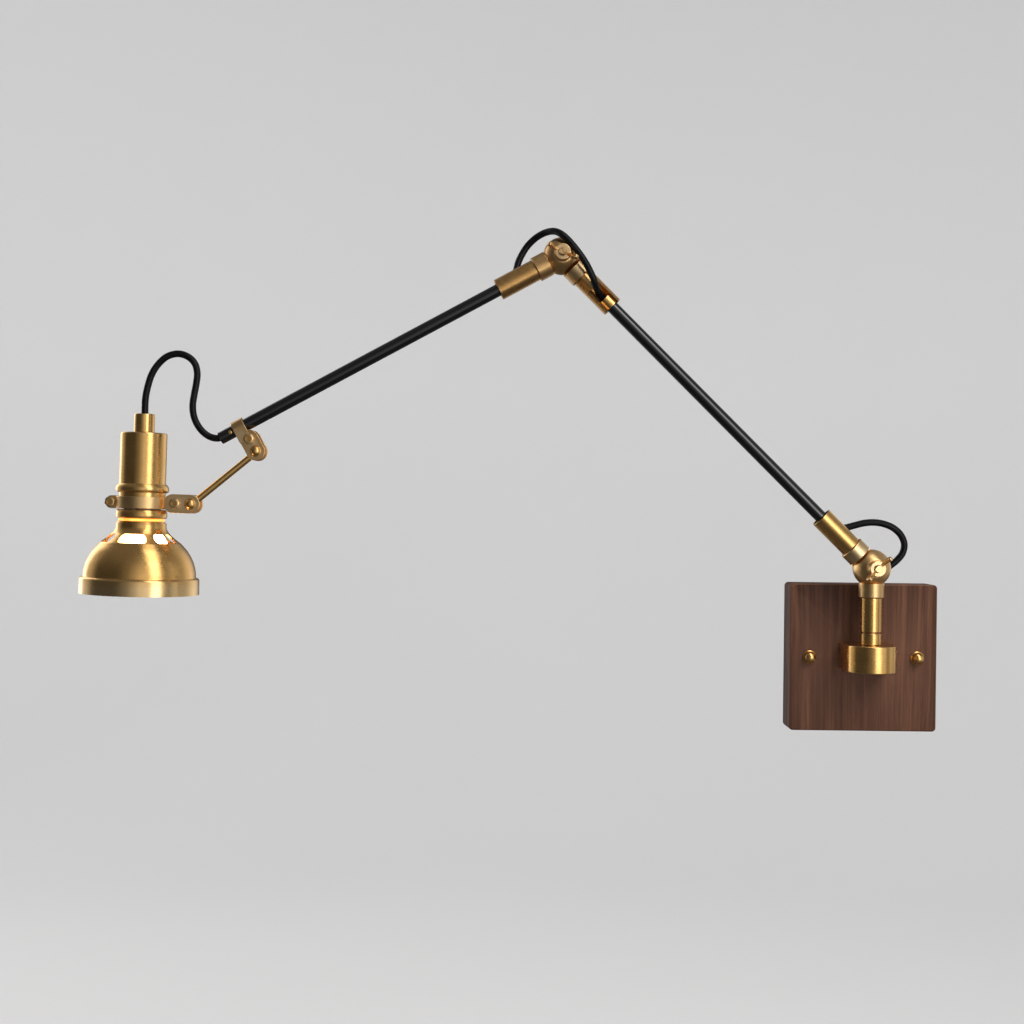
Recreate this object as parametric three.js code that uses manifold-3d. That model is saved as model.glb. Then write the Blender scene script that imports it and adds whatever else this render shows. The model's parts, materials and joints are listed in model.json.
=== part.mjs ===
// Swing arm wall sconce: a wooden wall plate, a brass post, two black tubes joined by ball
// knuckles, and a vented brass shade that hangs from the upper tube on a short link.
// Millimetres. +X is right, +Y goes into the wall and +Z is up. The origin is the centre of
// the mounting strap's back, in the plane of the wall.

import * as THREE from "three";
import { mergeVertices } from "three/addons/utils/BufferGeometryUtils.js";
import Module from "manifold-3d";

const wasm = await Module();
wasm.setup();

// ---------------------------------------------------------------- driving dimensions

const GAP = 0.3; // clearance between pieces that touch
const ARM_Y = -52; // plane in which the arms, link and head lie

const PLATE = { side: 120, depth: 28, corner: 3.5, bevel: 1.2, front: 8 };
const POCKET = { width: 104, height: 100 };
const STUD = { x: 44, radius: 2 };
const STRAP = { length: 100, height: 16, thick: 2.5, slotX: 26, slotLength: 12, slotWidth: 4.6 };

const DRUM = { radius: 20, bottom: -9, top: 12.6, wall: 3.4, roof: 4, edge: 0.9 };
const NIPPLE = { z: 1.8, outer: 5, bore: 3.4, nutSeat: 34.7 };
const SWIVEL_Z = 22;
const SPIGOT = { outer: 5, bore: 3.4, bottom: 3.5, bushTop: 31 };

const BALL = { radius: 15, cup: 17, face: 13.2 };
const BALL_1 = { x: 0, z: 74.1 };
const NECK = { radius: 10.1, from: 12, to: 23.5 };
const STEM = { radius: 6.5, arm: 36, post: 30 };
const SLEEVE = { outer: 8.6, bore: 6.8, from: 23.8, to: 57.5, slotWidth: 10.5 };
const BUSH = { from: 48.5, to: 57.2 };
const TUBE = { outer: 5, bore: 4, from: 48.8 };
const LEAD_FROM = 52.4; // where the lead inside a tube starts, from the knuckle's centre
const PIN = { radius: 3, front: 24.5 };

const ARM_1 = { length: 352, angle: 135.5 };
const ARM_2 = { length: 310, angle: 208.8 };
const LOWER_SLOT = 128; // slot directions, in degrees round the arm from its front face
const ELBOW_SLOT = 0;
const UPPER_SLOT = 130;
const POST_SLOT = 180;

const CLAMP = { at: 292, width: 10, screw: 12, pivot: 23, plateAt: 289 };
const STOP_PIN = { at: 300, radius: 1.6 };
const PLATES = { inner: 5.3, thick: 1.6, radius: 7.5 };
const LINK = { length: 67, angle: 219.7, rod: 2.7, eye: 6 };
const RIVET = { radius: 2.5, head: 4.5 };

const HEAD = { offset: 40, tilt: 1.1 };
const COVER = { radius: 18.2, wall: 1.2, top: 55.8, bottom: -5 };
const GRIP = { radius: 8.1, top: 71 };
const BAND = { outer: 20.3, inner: 18.5, half: 4.8, split: 0.6 };
const BAND_EAR = { screw: 24.5, end: 29, radius: 5.2 };
const BAND_PLATE = { screw: 27.8, end: 47.5 };
const HOLDER = { outer: 14.8, bore: 13.6, flange: 16.4, top: 16, bottom: -18.4 };
const GASKET = { outer: 18, top: -12.9, bottom: -14.6 };
const SHADE = { hole: 15.1, wall: 1.2, top: -14.9, rim: 45.8, bottom: -72.8 };
const VENT = { count: 6, width: 46, bottom: -31.8, height: 6.8 };
const BULB = { cap: 13.1, capTop: 12, capBottom: -14, glass: 22.5, wall: 1, centre: -40.5 };

const CABLE = 2.75; // radius of the sheathed cable
const CORE = 1.6; // radius of the stripped leads inside the plate, drum and post

// Points that each free cable follows, chosen by hand.
const SHOULDER_LOOP = [
  [-37.1, -52, 110.5],
  [-35.2, -51.9, 108.9],
  [-32.0, -51.1, 107.1],
  [-28.1, -49.4, 106.3],
  [-23.8, -47.2, 106.1],
  [-19.6, -45.2, 106.2],
  [-11.6, -42, 108.1],
  [-3.4, -39.5, 110.0],
  [5.2, -37.5, 110.6],
  [13.4, -36, 109.5],
  [21.4, -35, 106.3],
  [27.7, -34.3, 100.7],
  [30.8, -33.8, 93.4],
  [29.6, -33.5, 86.0],
  [25.0, -33.2, 79.9],
  [18.6, -33, 74.6],
  [12.2, -32.8, 68.6],
  [6.4, -33, 61.5],
  [2.2, -34.2, 53.8],
  [0.3, -37.4, 46.4],
  [0, -42.6, 40.9],
  [0, -48.4, 37.2],
  [0, -51.6, 33.6],
  [0, -52, 31.4],
];
const ELBOW_LOOP = [
  [-214.0, -52, 284.4],
  [-215.8, -52.3, 286.1],
  [-218.6, -53.8, 288.2],
  [-221.1, -56.8, 290.3],
  [-222.8, -60.6, 292.8],
  [-224.5, -63.6, 296.0],
  [-226.6, -66.2, 301.2],
  [-229.7, -67.3, 307.6],
  [-233.3, -67.6, 313.9],
  [-237.4, -67.8, 319.8],
  [-243.5, -67.4, 327.4],
  [-250.3, -64.9, 334.7],
  [-257.0, -58.4, 339.3],
  [-264.2, -50.6, 339.8],
  [-271.6, -44.6, 336.8],
  [-278.4, -42.2, 330.6],
  [-283.3, -42.4, 322.8],
  [-286.0, -43.4, 316.3],
  [-287.2, -44.8, 311.1],
  [-288.5, -46.9, 307.0],
  [-290.0, -49.2, 303.2],
  [-291.9, -51.0, 299.7],
  [-294.5, -51.9, 297.1],
  [-296.6, -52, 295.8],
];
const HEAD_LEAD_UPPER = [
  [-517.7, -52, 174.2],
  [-520.6, -52, 172.7],
  [-525.2, -52, 171.6],
  [-530.8, -52, 172.7],
  [-536.5, -52, 176.4],
  [-541.4, -52, 182.6],
  [-544.4, -52, 190.2],
  [-545.1, -52, 198.5],
  [-544.0, -52, 206.8],
];
const HEAD_LEAD_LOWER = [
  [-543.95, -52, 207.15],
  [-542.4, -52, 216.0],
  [-541.9, -52, 224.3],
  [-544.1, -52, 231.6],
  [-549.7, -52, 236.8],
  [-557.4, -52, 238.9],
  [-565.9, -52, 236.7],
  [-572.6, -52, 231.0],
  [-577.9, -52, 222.9],
  [-581.2, -52, 212.8],
  [-583.0, -52, 203.2],
  [-583.35, -52, 192.4],
  [-583.5, -52, 183.6],
];
const SUPPLY_LEAD = [
  [0, -10, -23.6],
  [0, -9.6, -14],
  [0, -10.2, -5],
  [0, -13.4, 0.4],
  [0, -19, 1.8],
  [0, -34, 1.8],
  [0, -43, 1.2],
  [0, -48.2, -0.9],
  [0, -51.2, -0.2],
  [0, -52, 3],
];

const ROUND = 28; // sides of a large turned piece
const SMALL = 14; // sides of a small turned piece

// ---------------------------------------------------------------- shapes

const radians = THREE.MathUtils.degToRad;

// A piece turned from a profile of [radius, height] points, its axis along +Z.
function turned(profile, sides = ROUND) {
  const points = profile.map(([radius, height]) => new THREE.Vector2(radius, height));
  return new THREE.LatheGeometry(points, sides).rotateX(Math.PI / 2);
}

function rod(radius, from, to, sides = SMALL) {
  return turned([[0, from], [radius, from], [radius, to], [0, to]], sides);
}

function pipe(outer, bore, from, to, sides = ROUND) {
  return turned([[bore, from], [outer, from], [outer, to], [bore, to], [bore, from]], sides);
}

function hexagon(acrossFlats, from, to) {
  const radius = acrossFlats / Math.sqrt(3);
  return rod(radius, from, to, 6);
}

function block(width, depth, height, x, y, z) {
  return new THREE.BoxGeometry(width, depth, height).translate(x, y, z);
}

// A flat bar with round ends: its centres lie `length` apart along X, and it stands along Z.
function roundBar(length, radius, from, to) {
  const outline = new THREE.Shape();
  outline.absarc(length, 0, radius, -Math.PI / 2, Math.PI / 2);
  outline.absarc(0, 0, radius, Math.PI / 2, 1.5 * Math.PI);
  const options = { depth: to - from, bevelEnabled: false, curveSegments: 5 };
  return new THREE.ExtrudeGeometry(outline, options).translate(0, 0, from);
}

// A round cable along hand-placed points.
function cable(points, radius, steps, sides = 8) {
  const section = new THREE.Shape();
  for (let i = 0; i < sides; i += 1) {
    const angle = (2 * Math.PI * i) / sides;
    const corner = [radius * Math.cos(angle), radius * Math.sin(angle)];
    if (i === 0) section.moveTo(...corner);
    else section.lineTo(...corner);
  }
  const route = points.map((point) => new THREE.Vector3(...point));
  const extrudePath = new THREE.CatmullRomCurve3(route, false, "centripetal");
  return new THREE.ExtrudeGeometry(section, { extrudePath, steps });
}

// Turns an axis that points up +Z to another direction.
const toRight = (shape) => shape.rotateY(Math.PI / 2);
const toFront = (shape) => shape.rotateX(Math.PI / 2);
const toBack = (shape) => shape.rotateX(-Math.PI / 2);

// ---------------------------------------------------------------- cutting and joining

function solid(geometry) {
  const bare = new THREE.BufferGeometry();
  bare.setAttribute("position", geometry.getAttribute("position"));
  if (geometry.index) bare.setIndex(geometry.index);
  const merged = mergeVertices(bare, 1e-4);
  const corners = merged.index.array;
  const triangles = [];
  for (let i = 0; i < corners.length; i += 3) {
    const [a, b, c] = corners.slice(i, i + 3);
    if (a !== b && b !== c && c !== a) triangles.push(a, b, c);
  }
  const vertProperties = new Float32Array(merged.getAttribute("position").array);
  const triVerts = new Uint32Array(triangles);
  return new wasm.Manifold(new wasm.Mesh({ numProp: 3, vertProperties, triVerts }));
}

function geometryOf(body) {
  const { vertProperties, triVerts } = body.getMesh();
  const geometry = new THREE.BufferGeometry();
  geometry.setAttribute("position", new THREE.BufferAttribute(vertProperties, 3));
  geometry.setIndex(new THREE.BufferAttribute(triVerts, 1));
  geometry.computeVertexNormals();
  return geometry;
}

function cut(shape, ...tools) {
  return geometryOf(tools.reduce((body, tool) => body.subtract(solid(tool)), solid(shape)));
}

function join(...shapes) {
  return geometryOf(shapes.map(solid).reduce((body, other) => body.add(other)));
}

function common(shape, other) {
  return geometryOf(solid(shape).intersect(solid(other)));
}

// ---------------------------------------------------------------- materials and placing

const FINISHES = {
  brass: { color: 0xc79a55, roughness: 0.32, metalness: 1 },
  bronze: { color: 0xa87a45, roughness: 0.38, metalness: 1 },
  walnut: { color: 0x7a4a30, roughness: 0.55, metalness: 0 },
  black_paint: { color: 0x0c0c0d, roughness: 0.18, metalness: 0 },
  steel: { color: 0x9a9da0, roughness: 0.4, metalness: 1 },
  plastic: { color: 0xe8e4da, roughness: 0.5, metalness: 0 },
  porcelain: { color: 0xefece4, roughness: 0.25, metalness: 0 },
  silicone: { color: 0xf0a848, roughness: 0.5, metalness: 0 },
  pvc: { color: 0x101011, roughness: 0.45, metalness: 0 },
  glass: { color: 0xfff0d0, roughness: 0.35, metalness: 0 },
  nickel: { color: 0xb9b7b0, roughness: 0.3, metalness: 1 },
};

function add(group, name, finish, geometry) {
  const material = new THREE.MeshStandardMaterial(FINISHES[finish]);
  const piece = new THREE.Mesh(geometryOf(solid(geometry)), material);
  piece.name = name;
  group.add(piece);
}

// A group whose X axis points at `angle` degrees in the arm plane, from `place` = { x, z }.
function placed(place, angle) {
  const group = new THREE.Group();
  group.position.set(place.x, ARM_Y, place.z);
  group.rotation.y = -radians(angle);
  return group;
}

// The point `along` and `below` an arm's axis, where that arm starts at `place`.
function pointOn(place, angle, along, below = 0) {
  const turn = radians(angle);
  return {
    x: place.x + along * Math.cos(turn) - below * Math.sin(turn),
    z: place.z + along * Math.sin(turn) + below * Math.cos(turn),
  };
}

const BALL_2 = pointOn(BALL_1, ARM_1.angle, ARM_1.length);
const UPPER_PIVOT = pointOn(BALL_2, ARM_2.angle, CLAMP.plateAt, CLAMP.pivot);
const LOWER_PIVOT = pointOn(UPPER_PIVOT, LINK.angle, LINK.length);

const sconce = new THREE.Group();
const wallSide = new THREE.Group();
const hub = new THREE.Group();
const post = placed(BALL_1, -90);
const arm1 = placed(BALL_1, ARM_1.angle);
const arm2 = placed(BALL_2, ARM_2.angle);
const link = placed(UPPER_PIVOT, LINK.angle);
const head = placed(LOWER_PIVOT, -HEAD.tilt);
const headAxis = new THREE.Group();
const cables = new THREE.Group();
hub.position.y = ARM_Y;
headAxis.position.x = -HEAD.offset;
head.add(headAxis);
sconce.add(wallSide, hub, post, arm1, arm2, link, head, cables);

// ---------------------------------------------------------------- wall plate and its fixing

function wallPlate() {
  const half = PLATE.side / 2 - PLATE.bevel;
  const turn = PLATE.corner;
  const outline = new THREE.Shape();
  outline.absarc(half - turn, half - turn, turn, 0, Math.PI / 2);
  outline.absarc(turn - half, half - turn, turn, Math.PI / 2, Math.PI);
  outline.absarc(turn - half, turn - half, turn, Math.PI, 1.5 * Math.PI);
  outline.absarc(half - turn, turn - half, turn, 1.5 * Math.PI, 2 * Math.PI);
  const options = {
    depth: PLATE.depth,
    bevelThickness: PLATE.bevel,
    bevelSize: PLATE.bevel,
    bevelSegments: 1,
    curveSegments: 3,
  };
  const body = toFront(new THREE.ExtrudeGeometry(outline, options)).translate(0, PLATE.bevel, 0);
  const cutBack = block(200, 20, 200, 0, 10, 0);
  const pocketDepth = PLATE.depth - PLATE.front;
  const pocket = block(POCKET.width, pocketDepth + 5, POCKET.height, 0, 2.5 - pocketDepth / 2, 0);
  const hole = (radius, x, z) => toFront(rod(radius, 0, PLATE.depth + 5)).translate(x, 0, z);
  const studHoles = [-STUD.x, STUD.x].map((x) => hole(STUD.radius + 0.4, x, 0));
  return cut(body, cutBack, pocket, ...studHoles, hole(NIPPLE.outer + 0.4, 0, NIPPLE.z));
}

function mountingStrap() {
  const bar = block(STRAP.length, STRAP.thick, STRAP.height, 0, -STRAP.thick / 2, 0);
  const slots = [-1, 1].map((side) => {
    const reach = STRAP.slotLength - STRAP.slotWidth;
    const slot = toFront(roundBar(reach, STRAP.slotWidth / 2, -2, STRAP.thick + 2));
    return slot.translate(side * STRAP.slotX - reach / 2, 0, 0);
  });
  const taps = [-STUD.x, STUD.x].map((x) => toFront(rod(STUD.radius + GAP, -2, 6)).translate(x, 0, 0));
  return cut(bar, ...slots, ...taps);
}

// A domed nut on a thin flange, with a blind hole for the stud.
function capNut() {
  const seat = PLATE.depth + GAP;
  const outside = [[0, seat], [5.6, seat], [5.6, seat + 0.9], [4.9, seat + 1.1], [4.9, seat + 3]];
  const dome = [[4.5, seat + 4.6], [3.6, seat + 6], [2, seat + 7], [0, seat + 7.3]];
  const hole = rod(STUD.radius + GAP, seat - 1, seat + 5);
  return toFront(cut(turned([...outside, ...dome], 14), hole));
}

add(wallSide, "wall_plate", "walnut", wallPlate());
add(wallSide, "mounting_strap", "steel", mountingStrap());
[["left", -STUD.x], ["right", STUD.x]].forEach(([side, x]) => {
  const stud = toFront(rod(STUD.radius, 0.4, PLATE.depth + 4.8, 16));
  add(wallSide, `mounting_stud_${side}`, "steel", stud.translate(x, 0, 0));
  add(wallSide, `cap_nut_${side}`, "brass", capNut().translate(x, 0, 0));
});

const terminalHoles = [-7, 0, 7].map((x) => rod(1.9, -12, 12, 8).translate(x, -10, -30));
add(wallSide, "terminal_block", "plastic", cut(block(24, 10, 12, 0, -10, -30), ...terminalHoles));
add(wallSide, "supply_lead", "pvc", cable(SUPPLY_LEAD, CORE, 20));

// ---------------------------------------------------------------- drum, collar and swivel

const drumRoof = DRUM.top - DRUM.roof;
const drumBack = -PLATE.depth - GAP - ARM_Y;
const drumSeat = -NIPPLE.nutSeat - ARM_Y;

// The drum's plan: half a circle in front, and straight sides that run back to the plate.
function drumPlan(radius, back) {
  const outline = new THREE.Shape();
  outline.absarc(0, 0, radius, Math.PI, 2 * Math.PI);
  outline.lineTo(radius, back);
  outline.lineTo(-radius, back);
  return outline;
}

function drumSlab(radius, back, from, to) {
  const options = { depth: to - from, bevelEnabled: false, curveSegments: 16 };
  return new THREE.ExtrudeGeometry(drumPlan(radius, back), options).translate(0, 0, from);
}

function drum() {
  const { radius, bottom, top, wall, edge } = DRUM;
  const options = {
    depth: top - bottom - 2 * edge,
    bevelThickness: edge,
    bevelSize: edge,
    bevelSegments: 2,
    curveSegments: 16,
  };
  const body = new THREE.ExtrudeGeometry(drumPlan(radius - edge, drumBack + 5), options);
  const cutBack = block(80, 20, 80, 0, drumBack + 10, 0);
  const room = drumSlab(radius - wall, drumSeat, bottom - 5, drumRoof);
  const spigotBore = rod(SPIGOT.outer + GAP, 0, 20);
  const nippleHole = toBack(rod(NIPPLE.outer + GAP, 10, 30)).translate(0, 0, NIPPLE.z);
  return cut(body.translate(0, 0, bottom + edge), cutBack, room, spigotBore, nippleHole);
}

// The nipple's flange bears on the inside of the plate, and its nut inside the drum.
function nipple() {
  const inside = PLATE.depth - PLATE.front;
  const flange = [[NIPPLE.bore, inside - 3], [8, inside - 3], [8, inside - GAP]];
  const tube = [[NIPPLE.outer, inside - GAP], [NIPPLE.outer, 38.6], [NIPPLE.bore, 38.6]];
  return toFront(turned([...flange, ...tube, flange[0]], 16)).translate(0, 0, NIPPLE.z);
}

function nippleNut() {
  const ring = cut(hexagon(13, 35, 38.2), rod(NIPPLE.outer + GAP, 30, 45));
  return toFront(ring.rotateZ(Math.PI / 6)).translate(0, 0, NIPPLE.z);
}

function spigot() {
  const foot = SWIVEL_Z + 1.2;
  return turned([
    [SPIGOT.bore, SPIGOT.bottom],
    [SPIGOT.outer, SPIGOT.bottom],
    [SPIGOT.outer, foot],
    [STEM.radius, foot],
    [STEM.radius, SPIGOT.bushTop],
    [SPIGOT.bore, SPIGOT.bushTop],
    [SPIGOT.bore, SPIGOT.bottom],
  ], 18);
}

const coverBottom = DRUM.bottom + GAP;
const coverRadius = DRUM.radius - DRUM.wall - GAP;
const drumCover = drumSlab(coverRadius, drumSeat - GAP, coverBottom, coverBottom + 2.6);
add(hub, "drum", "brass", drum());
add(hub, "drum_cover", "brass", drumCover);
add(wallSide, "wall_nipple", "steel", nipple());
add(wallSide, "nipple_nut", "steel", nippleNut());
const spigotHole = SPIGOT.outer + GAP;
add(hub, "post_collar", "brass", pipe(SLEEVE.outer, spigotHole, DRUM.top + GAP, SWIVEL_Z));
add(hub, "swivel_washer", "bronze", pipe(7.9, spigotHole, SWIVEL_Z + GAP, SWIVEL_Z + 0.9));
add(hub, "swivel_spigot", "steel", spigot());
add(hub, "spigot_nut", "steel", cut(hexagon(14, 4.2, drumRoof - GAP), rod(spigotHole, 0, 20)));

// ---------------------------------------------------------------- ball knuckles

// One half of a ball knuckle with its neck and stem. The stem lies along +X, the pinch bolt
// along Y, and `side` is -1 for the front half and 1 for the rear half.
function knuckle(side, stemEnd) {
  const split = 0.15;
  const own = block(60, 30, 60, 0, side * (15 + split), 0);
  const other = block(60, 30, 60, 0, side * (split - 15), 0);
  const halfBall = common(new THREE.SphereGeometry(BALL.radius, 20, 12), own);
  const cup = common(new THREE.SphereGeometry(BALL.cup, 20, 12), other);
  const neck = turned([
    [0, NECK.from],
    [NECK.radius - 0.6, NECK.from],
    [NECK.radius, NECK.from + 0.6],
    [NECK.radius, NECK.to - 0.6],
    [NECK.radius - 0.6, NECK.to],
    [STEM.radius, NECK.to],
    [STEM.radius, stemEnd],
    [0, stemEnd],
  ], 24);
  const boltHole = toFront(rod(PIN.radius + GAP, -30, 30));
  const turn = side < 0 ? toFront : toBack;
  const spotFace = turn(rod(9, BALL.face, 20, 20));
  return cut(join(halfBall, cut(toRight(neck), cup)), boltHole, spotFace);
}

// A C-shaped sleeve: the cable comes out through its slot.
function sleeve(to, slotDirection) {
  const tube = toRight(pipe(SLEEVE.outer, SLEEVE.bore, SLEEVE.from, to));
  const slot = block(80, 20, SLEEVE.slotWidth, 40, -10, 0).rotateX(radians(slotDirection));
  return cut(tube, slot);
}

function bush() {
  return toRight(pipe(STEM.radius, TUBE.outer + GAP, BUSH.from, BUSH.to, 20));
}

// The pinch bolt: hexagon head at the back, screwdriver slot in its front end.
function pinchBolt() {
  const back = -BALL.face - GAP;
  const shank = rod(PIN.radius, back - 0.2, PIN.front);
  const slot = block(8, 0.9, 2, 0, 0, PIN.front);
  return toFront(cut(join(shank, hexagon(9, back - 4, back)), slot));
}

// A wing nut with its two wings along X, turned by `angle` about the bolt.
function wingNut(angle) {
  const seat = BALL.face + GAP;
  const hubShape = turned([[0, seat], [6.7, seat], [6.5, seat + 7.6], [0, seat + 7.6]], 18);
  const outline = new THREE.Shape();
  outline.moveTo(2, seat + 2.4);
  outline.lineTo(4.6, seat + 2.8);
  outline.quadraticCurveTo(9, 19.2, 12, 20.6);
  outline.quadraticCurveTo(14.4, 24.6, 12.2, 27.9);
  outline.quadraticCurveTo(10.4, 29.4, 9.3, 27.2);
  outline.quadraticCurveTo(7.4, 21.8, 2, seat + 7);
  const thick = 2.8;
  const options = { depth: thick, bevelEnabled: false, curveSegments: 3 };
  const wing = new THREE.ExtrudeGeometry(outline, options).rotateX(Math.PI / 2).translate(0, thick / 2, 0);
  const otherWing = wing.clone().rotateZ(Math.PI);
  const bore = rod(PIN.radius + GAP, 0, 40);
  return toFront(cut(join(hubShape, wing, otherWing), bore)).rotateY(-radians(angle));
}

// Local heights on the post are measured down from the shoulder ball.
add(post, "post_sleeve", "brass", sleeve(BALL_1.z - SWIVEL_Z - 1.2, POST_SLOT));
add(post, "shoulder_front", "brass", knuckle(-1, STEM.post));
add(post, "shoulder_bolt", "brass", pinchBolt());
add(post, "shoulder_wing_nut", "brass", wingNut(45 + 90));
const postLead = [[0, ARM_Y, 3.4], [0, ARM_Y, SPIGOT.bushTop - 0.2]];
add(cables, "post_lead", "pvc", cable(postLead, CORE, 3));

// ---------------------------------------------------------------- arm 1

const farEnd = (shape) => shape.rotateY(Math.PI).translate(ARM_1.length, 0, 0);
const arm1TubeEnd = ARM_1.length - TUBE.from;

add(arm1, "shoulder_rear", "brass", knuckle(1, STEM.arm));
add(arm1, "arm_1_lower_sleeve", "brass", sleeve(SLEEVE.to, LOWER_SLOT));
add(arm1, "arm_1_lower_bush", "brass", bush());
add(arm1, "arm_1_tube", "black_paint", toRight(pipe(TUBE.outer, TUBE.bore, TUBE.from, arm1TubeEnd, 20)));
add(arm1, "arm_1_upper_bush", "brass", farEnd(bush()));
add(arm1, "arm_1_upper_sleeve", "bronze", farEnd(sleeve(SLEEVE.to, ELBOW_SLOT)));
add(arm1, "elbow_rear", "bronze", farEnd(knuckle(1, STEM.arm)));
add(arm1, "arm_1_lead", "pvc", cable([[LEAD_FROM, 0, 0], [ARM_1.length - LEAD_FROM, 0, 0]], CABLE, 4));
add(cables, "shoulder_loop", "pvc", cable(SHOULDER_LOOP, CABLE, 24));

// ---------------------------------------------------------------- arm 2 and its clamp

// A strap folded over the tube into two flat plates, with holes for the screw and the rivet.
function clampStrap() {
  const outer = PLATES.inner + PLATES.thick;
  const fold = toRight(pipe(outer, PLATES.inner, -CLAMP.width / 2, CLAMP.width / 2, 16));
  const upper = common(fold, block(40, 40, 20, 0, 0, -10));
  const legHeight = CLAMP.screw;
  const legs = [-1, 1].map((side) => {
    const y = side * (PLATES.inner + PLATES.thick / 2);
    return block(CLAMP.width, PLATES.thick, legHeight, 0, y, legHeight / 2);
  });
  const plates = [-outer, PLATES.inner].map((from) => {
    const bar = roundBar(CLAMP.pivot - CLAMP.screw, PLATES.radius, -from - PLATES.thick, -from);
    return toFront(bar).rotateY(-Math.PI / 2).translate(CLAMP.plateAt - CLAMP.at, 0, CLAMP.screw);
  });
  const across = (radius, z) => toFront(rod(radius, -20, 20)).translate(CLAMP.plateAt - CLAMP.at, 0, z);
  const holes = [across(2.3, CLAMP.screw), across(RIVET.radius + GAP, CLAMP.pivot)];
  return cut(join(upper, ...legs, ...plates), ...holes).translate(CLAMP.at, 0, 0);
}

// A hexagon-head screw along Y, its head in front of a plate whose face is `face` forward.
function hexScrew(face, tail, acrossFlats = 7.5) {
  const head = hexagon(acrossFlats, face + GAP, face + 3.2);
  return toFront(join(head, rod(2, -tail, face + 1)));
}

// A rivet with a domed head in front and a flat one behind, through a pair of plates.
function pivotRivet() {
  const face = PLATES.inner + PLATES.thick + GAP;
  return toFront(turned([
    [0, -face - 1.6],
    [RIVET.head - 0.6, -face - 1.6],
    [RIVET.head, -face - 1],
    [RIVET.head, -face],
    [RIVET.radius, -face],
    [RIVET.radius, face],
    [RIVET.head, face],
    [RIVET.head, face + 0.8],
    [RIVET.head - 1, face + 2],
    [1.6, face + 2.7],
    [0, face + 2.9],
  ], 14));
}

const platesOut = PLATES.inner + PLATES.thick;
const arm2Tube = toRight(pipe(TUBE.outer, TUBE.bore, TUBE.from, ARM_2.length, 20));
const stopPin = (radius, from, to) => toFront(rod(radius, from, to, 10)).translate(STOP_PIN.at, 0, 0);
add(arm2, "elbow_front", "bronze", knuckle(-1, STEM.arm));
add(arm2, "elbow_bolt", "bronze", pinchBolt());
add(arm2, "elbow_wing_nut", "bronze", wingNut(155.5 - ARM_2.angle));
add(arm2, "arm_2_sleeve", "bronze", sleeve(SLEEVE.to, UPPER_SLOT));
add(arm2, "arm_2_bush", "bronze", bush());
add(arm2, "arm_2_tube", "black_paint", cut(arm2Tube, stopPin(STOP_PIN.radius + GAP, 0, 10)));
add(arm2, "stop_pin", "brass", stopPin(STOP_PIN.radius, 4.2, 5.8));
add(arm2, "arm_2_lead", "pvc", cable([[LEAD_FROM, 0, 0], [ARM_2.length - 6, 0, 0]], CABLE, 4));
add(arm2, "clamp_strap", "brass", clampStrap());
add(arm2, "clamp_screw", "brass", hexScrew(platesOut, 8.6).translate(CLAMP.plateAt, 0, CLAMP.screw));
add(arm2, "clamp_rivet", "brass", pivotRivet().translate(CLAMP.plateAt, 0, CLAMP.pivot));
add(cables, "elbow_loop", "pvc", cable(ELBOW_LOOP, CABLE, 22));

// ---------------------------------------------------------------- link

function linkRod() {
  const eyeHalf = PLATES.inner - GAP;
  const atEnds = (radius, half) => [0, LINK.length].map((x) => {
    return toFront(rod(radius, -half, half, 18)).translate(x, 0, 0);
  });
  const bar = toRight(rod(LINK.rod, 3, LINK.length - 3));
  return cut(join(...atEnds(LINK.eye, eyeHalf), bar), ...atEnds(RIVET.radius + GAP, 9));
}

add(link, "link_rod", "brass", linkRod());

// ---------------------------------------------------------------- head

// Half of the band round the head. Both halves have a flat ear at the left for a screw and a
// long plate at the right for a screw and the link's rivet. `side` is -1 in front, 1 behind.
function bandHalf(side) {
  const ring = pipe(BAND.outer, BAND.inner, -BAND.half, BAND.half, 32);
  const keep = block(80, 60, 40, 0, side * (30 + BAND.split), 0);
  const facing = side < 0 ? toFront : toBack;
  const earLength = BAND_EAR.end - BAND_EAR.radius - 19;
  const ear = facing(roundBar(earLength, BAND_EAR.radius, BAND.split, BAND.split + 1.8));
  const plateLength = BAND_PLATE.end - PLATES.radius - 26;
  const plate = facing(roundBar(plateLength, PLATES.radius, PLATES.inner, platesOut));
  const parts = [
    common(ring, keep),
    ear.translate(-BAND_EAR.end + BAND_EAR.radius, 0, 0),
    plate.translate(26, 0, 0),
  ];
  const bore = rod(BAND.inner, -20, 20, 32);
  const hole = (radius, x) => toFront(rod(radius, -20, 20)).translate(x, 0, 0);
  const screwHoles = [-BAND_EAR.screw, BAND_PLATE.screw].map((x) => hole(2.3, x));
  return cut(join(...parts), bore, ...screwHoles, hole(RIVET.radius + GAP, HEAD.offset));
}

function cordGrip() {
  const foot = COVER.top + GAP;
  const gripBore = CABLE + 2 * GAP;
  return turned([
    [gripBore, foot],
    [GRIP.radius, foot],
    [GRIP.radius, GRIP.top - 0.8],
    [GRIP.radius - 0.8, GRIP.top],
    [gripBore, GRIP.top],
    [gripBore, foot],
  ], 20);
}

function socketCover() {
  const { radius, wall, top, bottom } = COVER;
  return turned([
    [radius - wall, bottom],
    [radius, bottom],
    [radius, top - 1.2],
    [radius - 1.2, top],
    [CABLE + 1, top],
    [CABLE + 1, top - 1.6],
    [radius - wall - 0.8, top - 1.6],
    [radius - wall, top - 2.4],
    [radius - wall, bottom],
  ]);
}

function beadRing() {
  const inner = COVER.radius + GAP;
  return turned([
    [inner, 8],
    [19.3, 8],
    [20.5, 9.2],
    [20.8, 11],
    [20.2, 13],
    [19.2, 14.6],
    [inner, 14.9],
    [inner, 8],
  ]);
}

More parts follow.
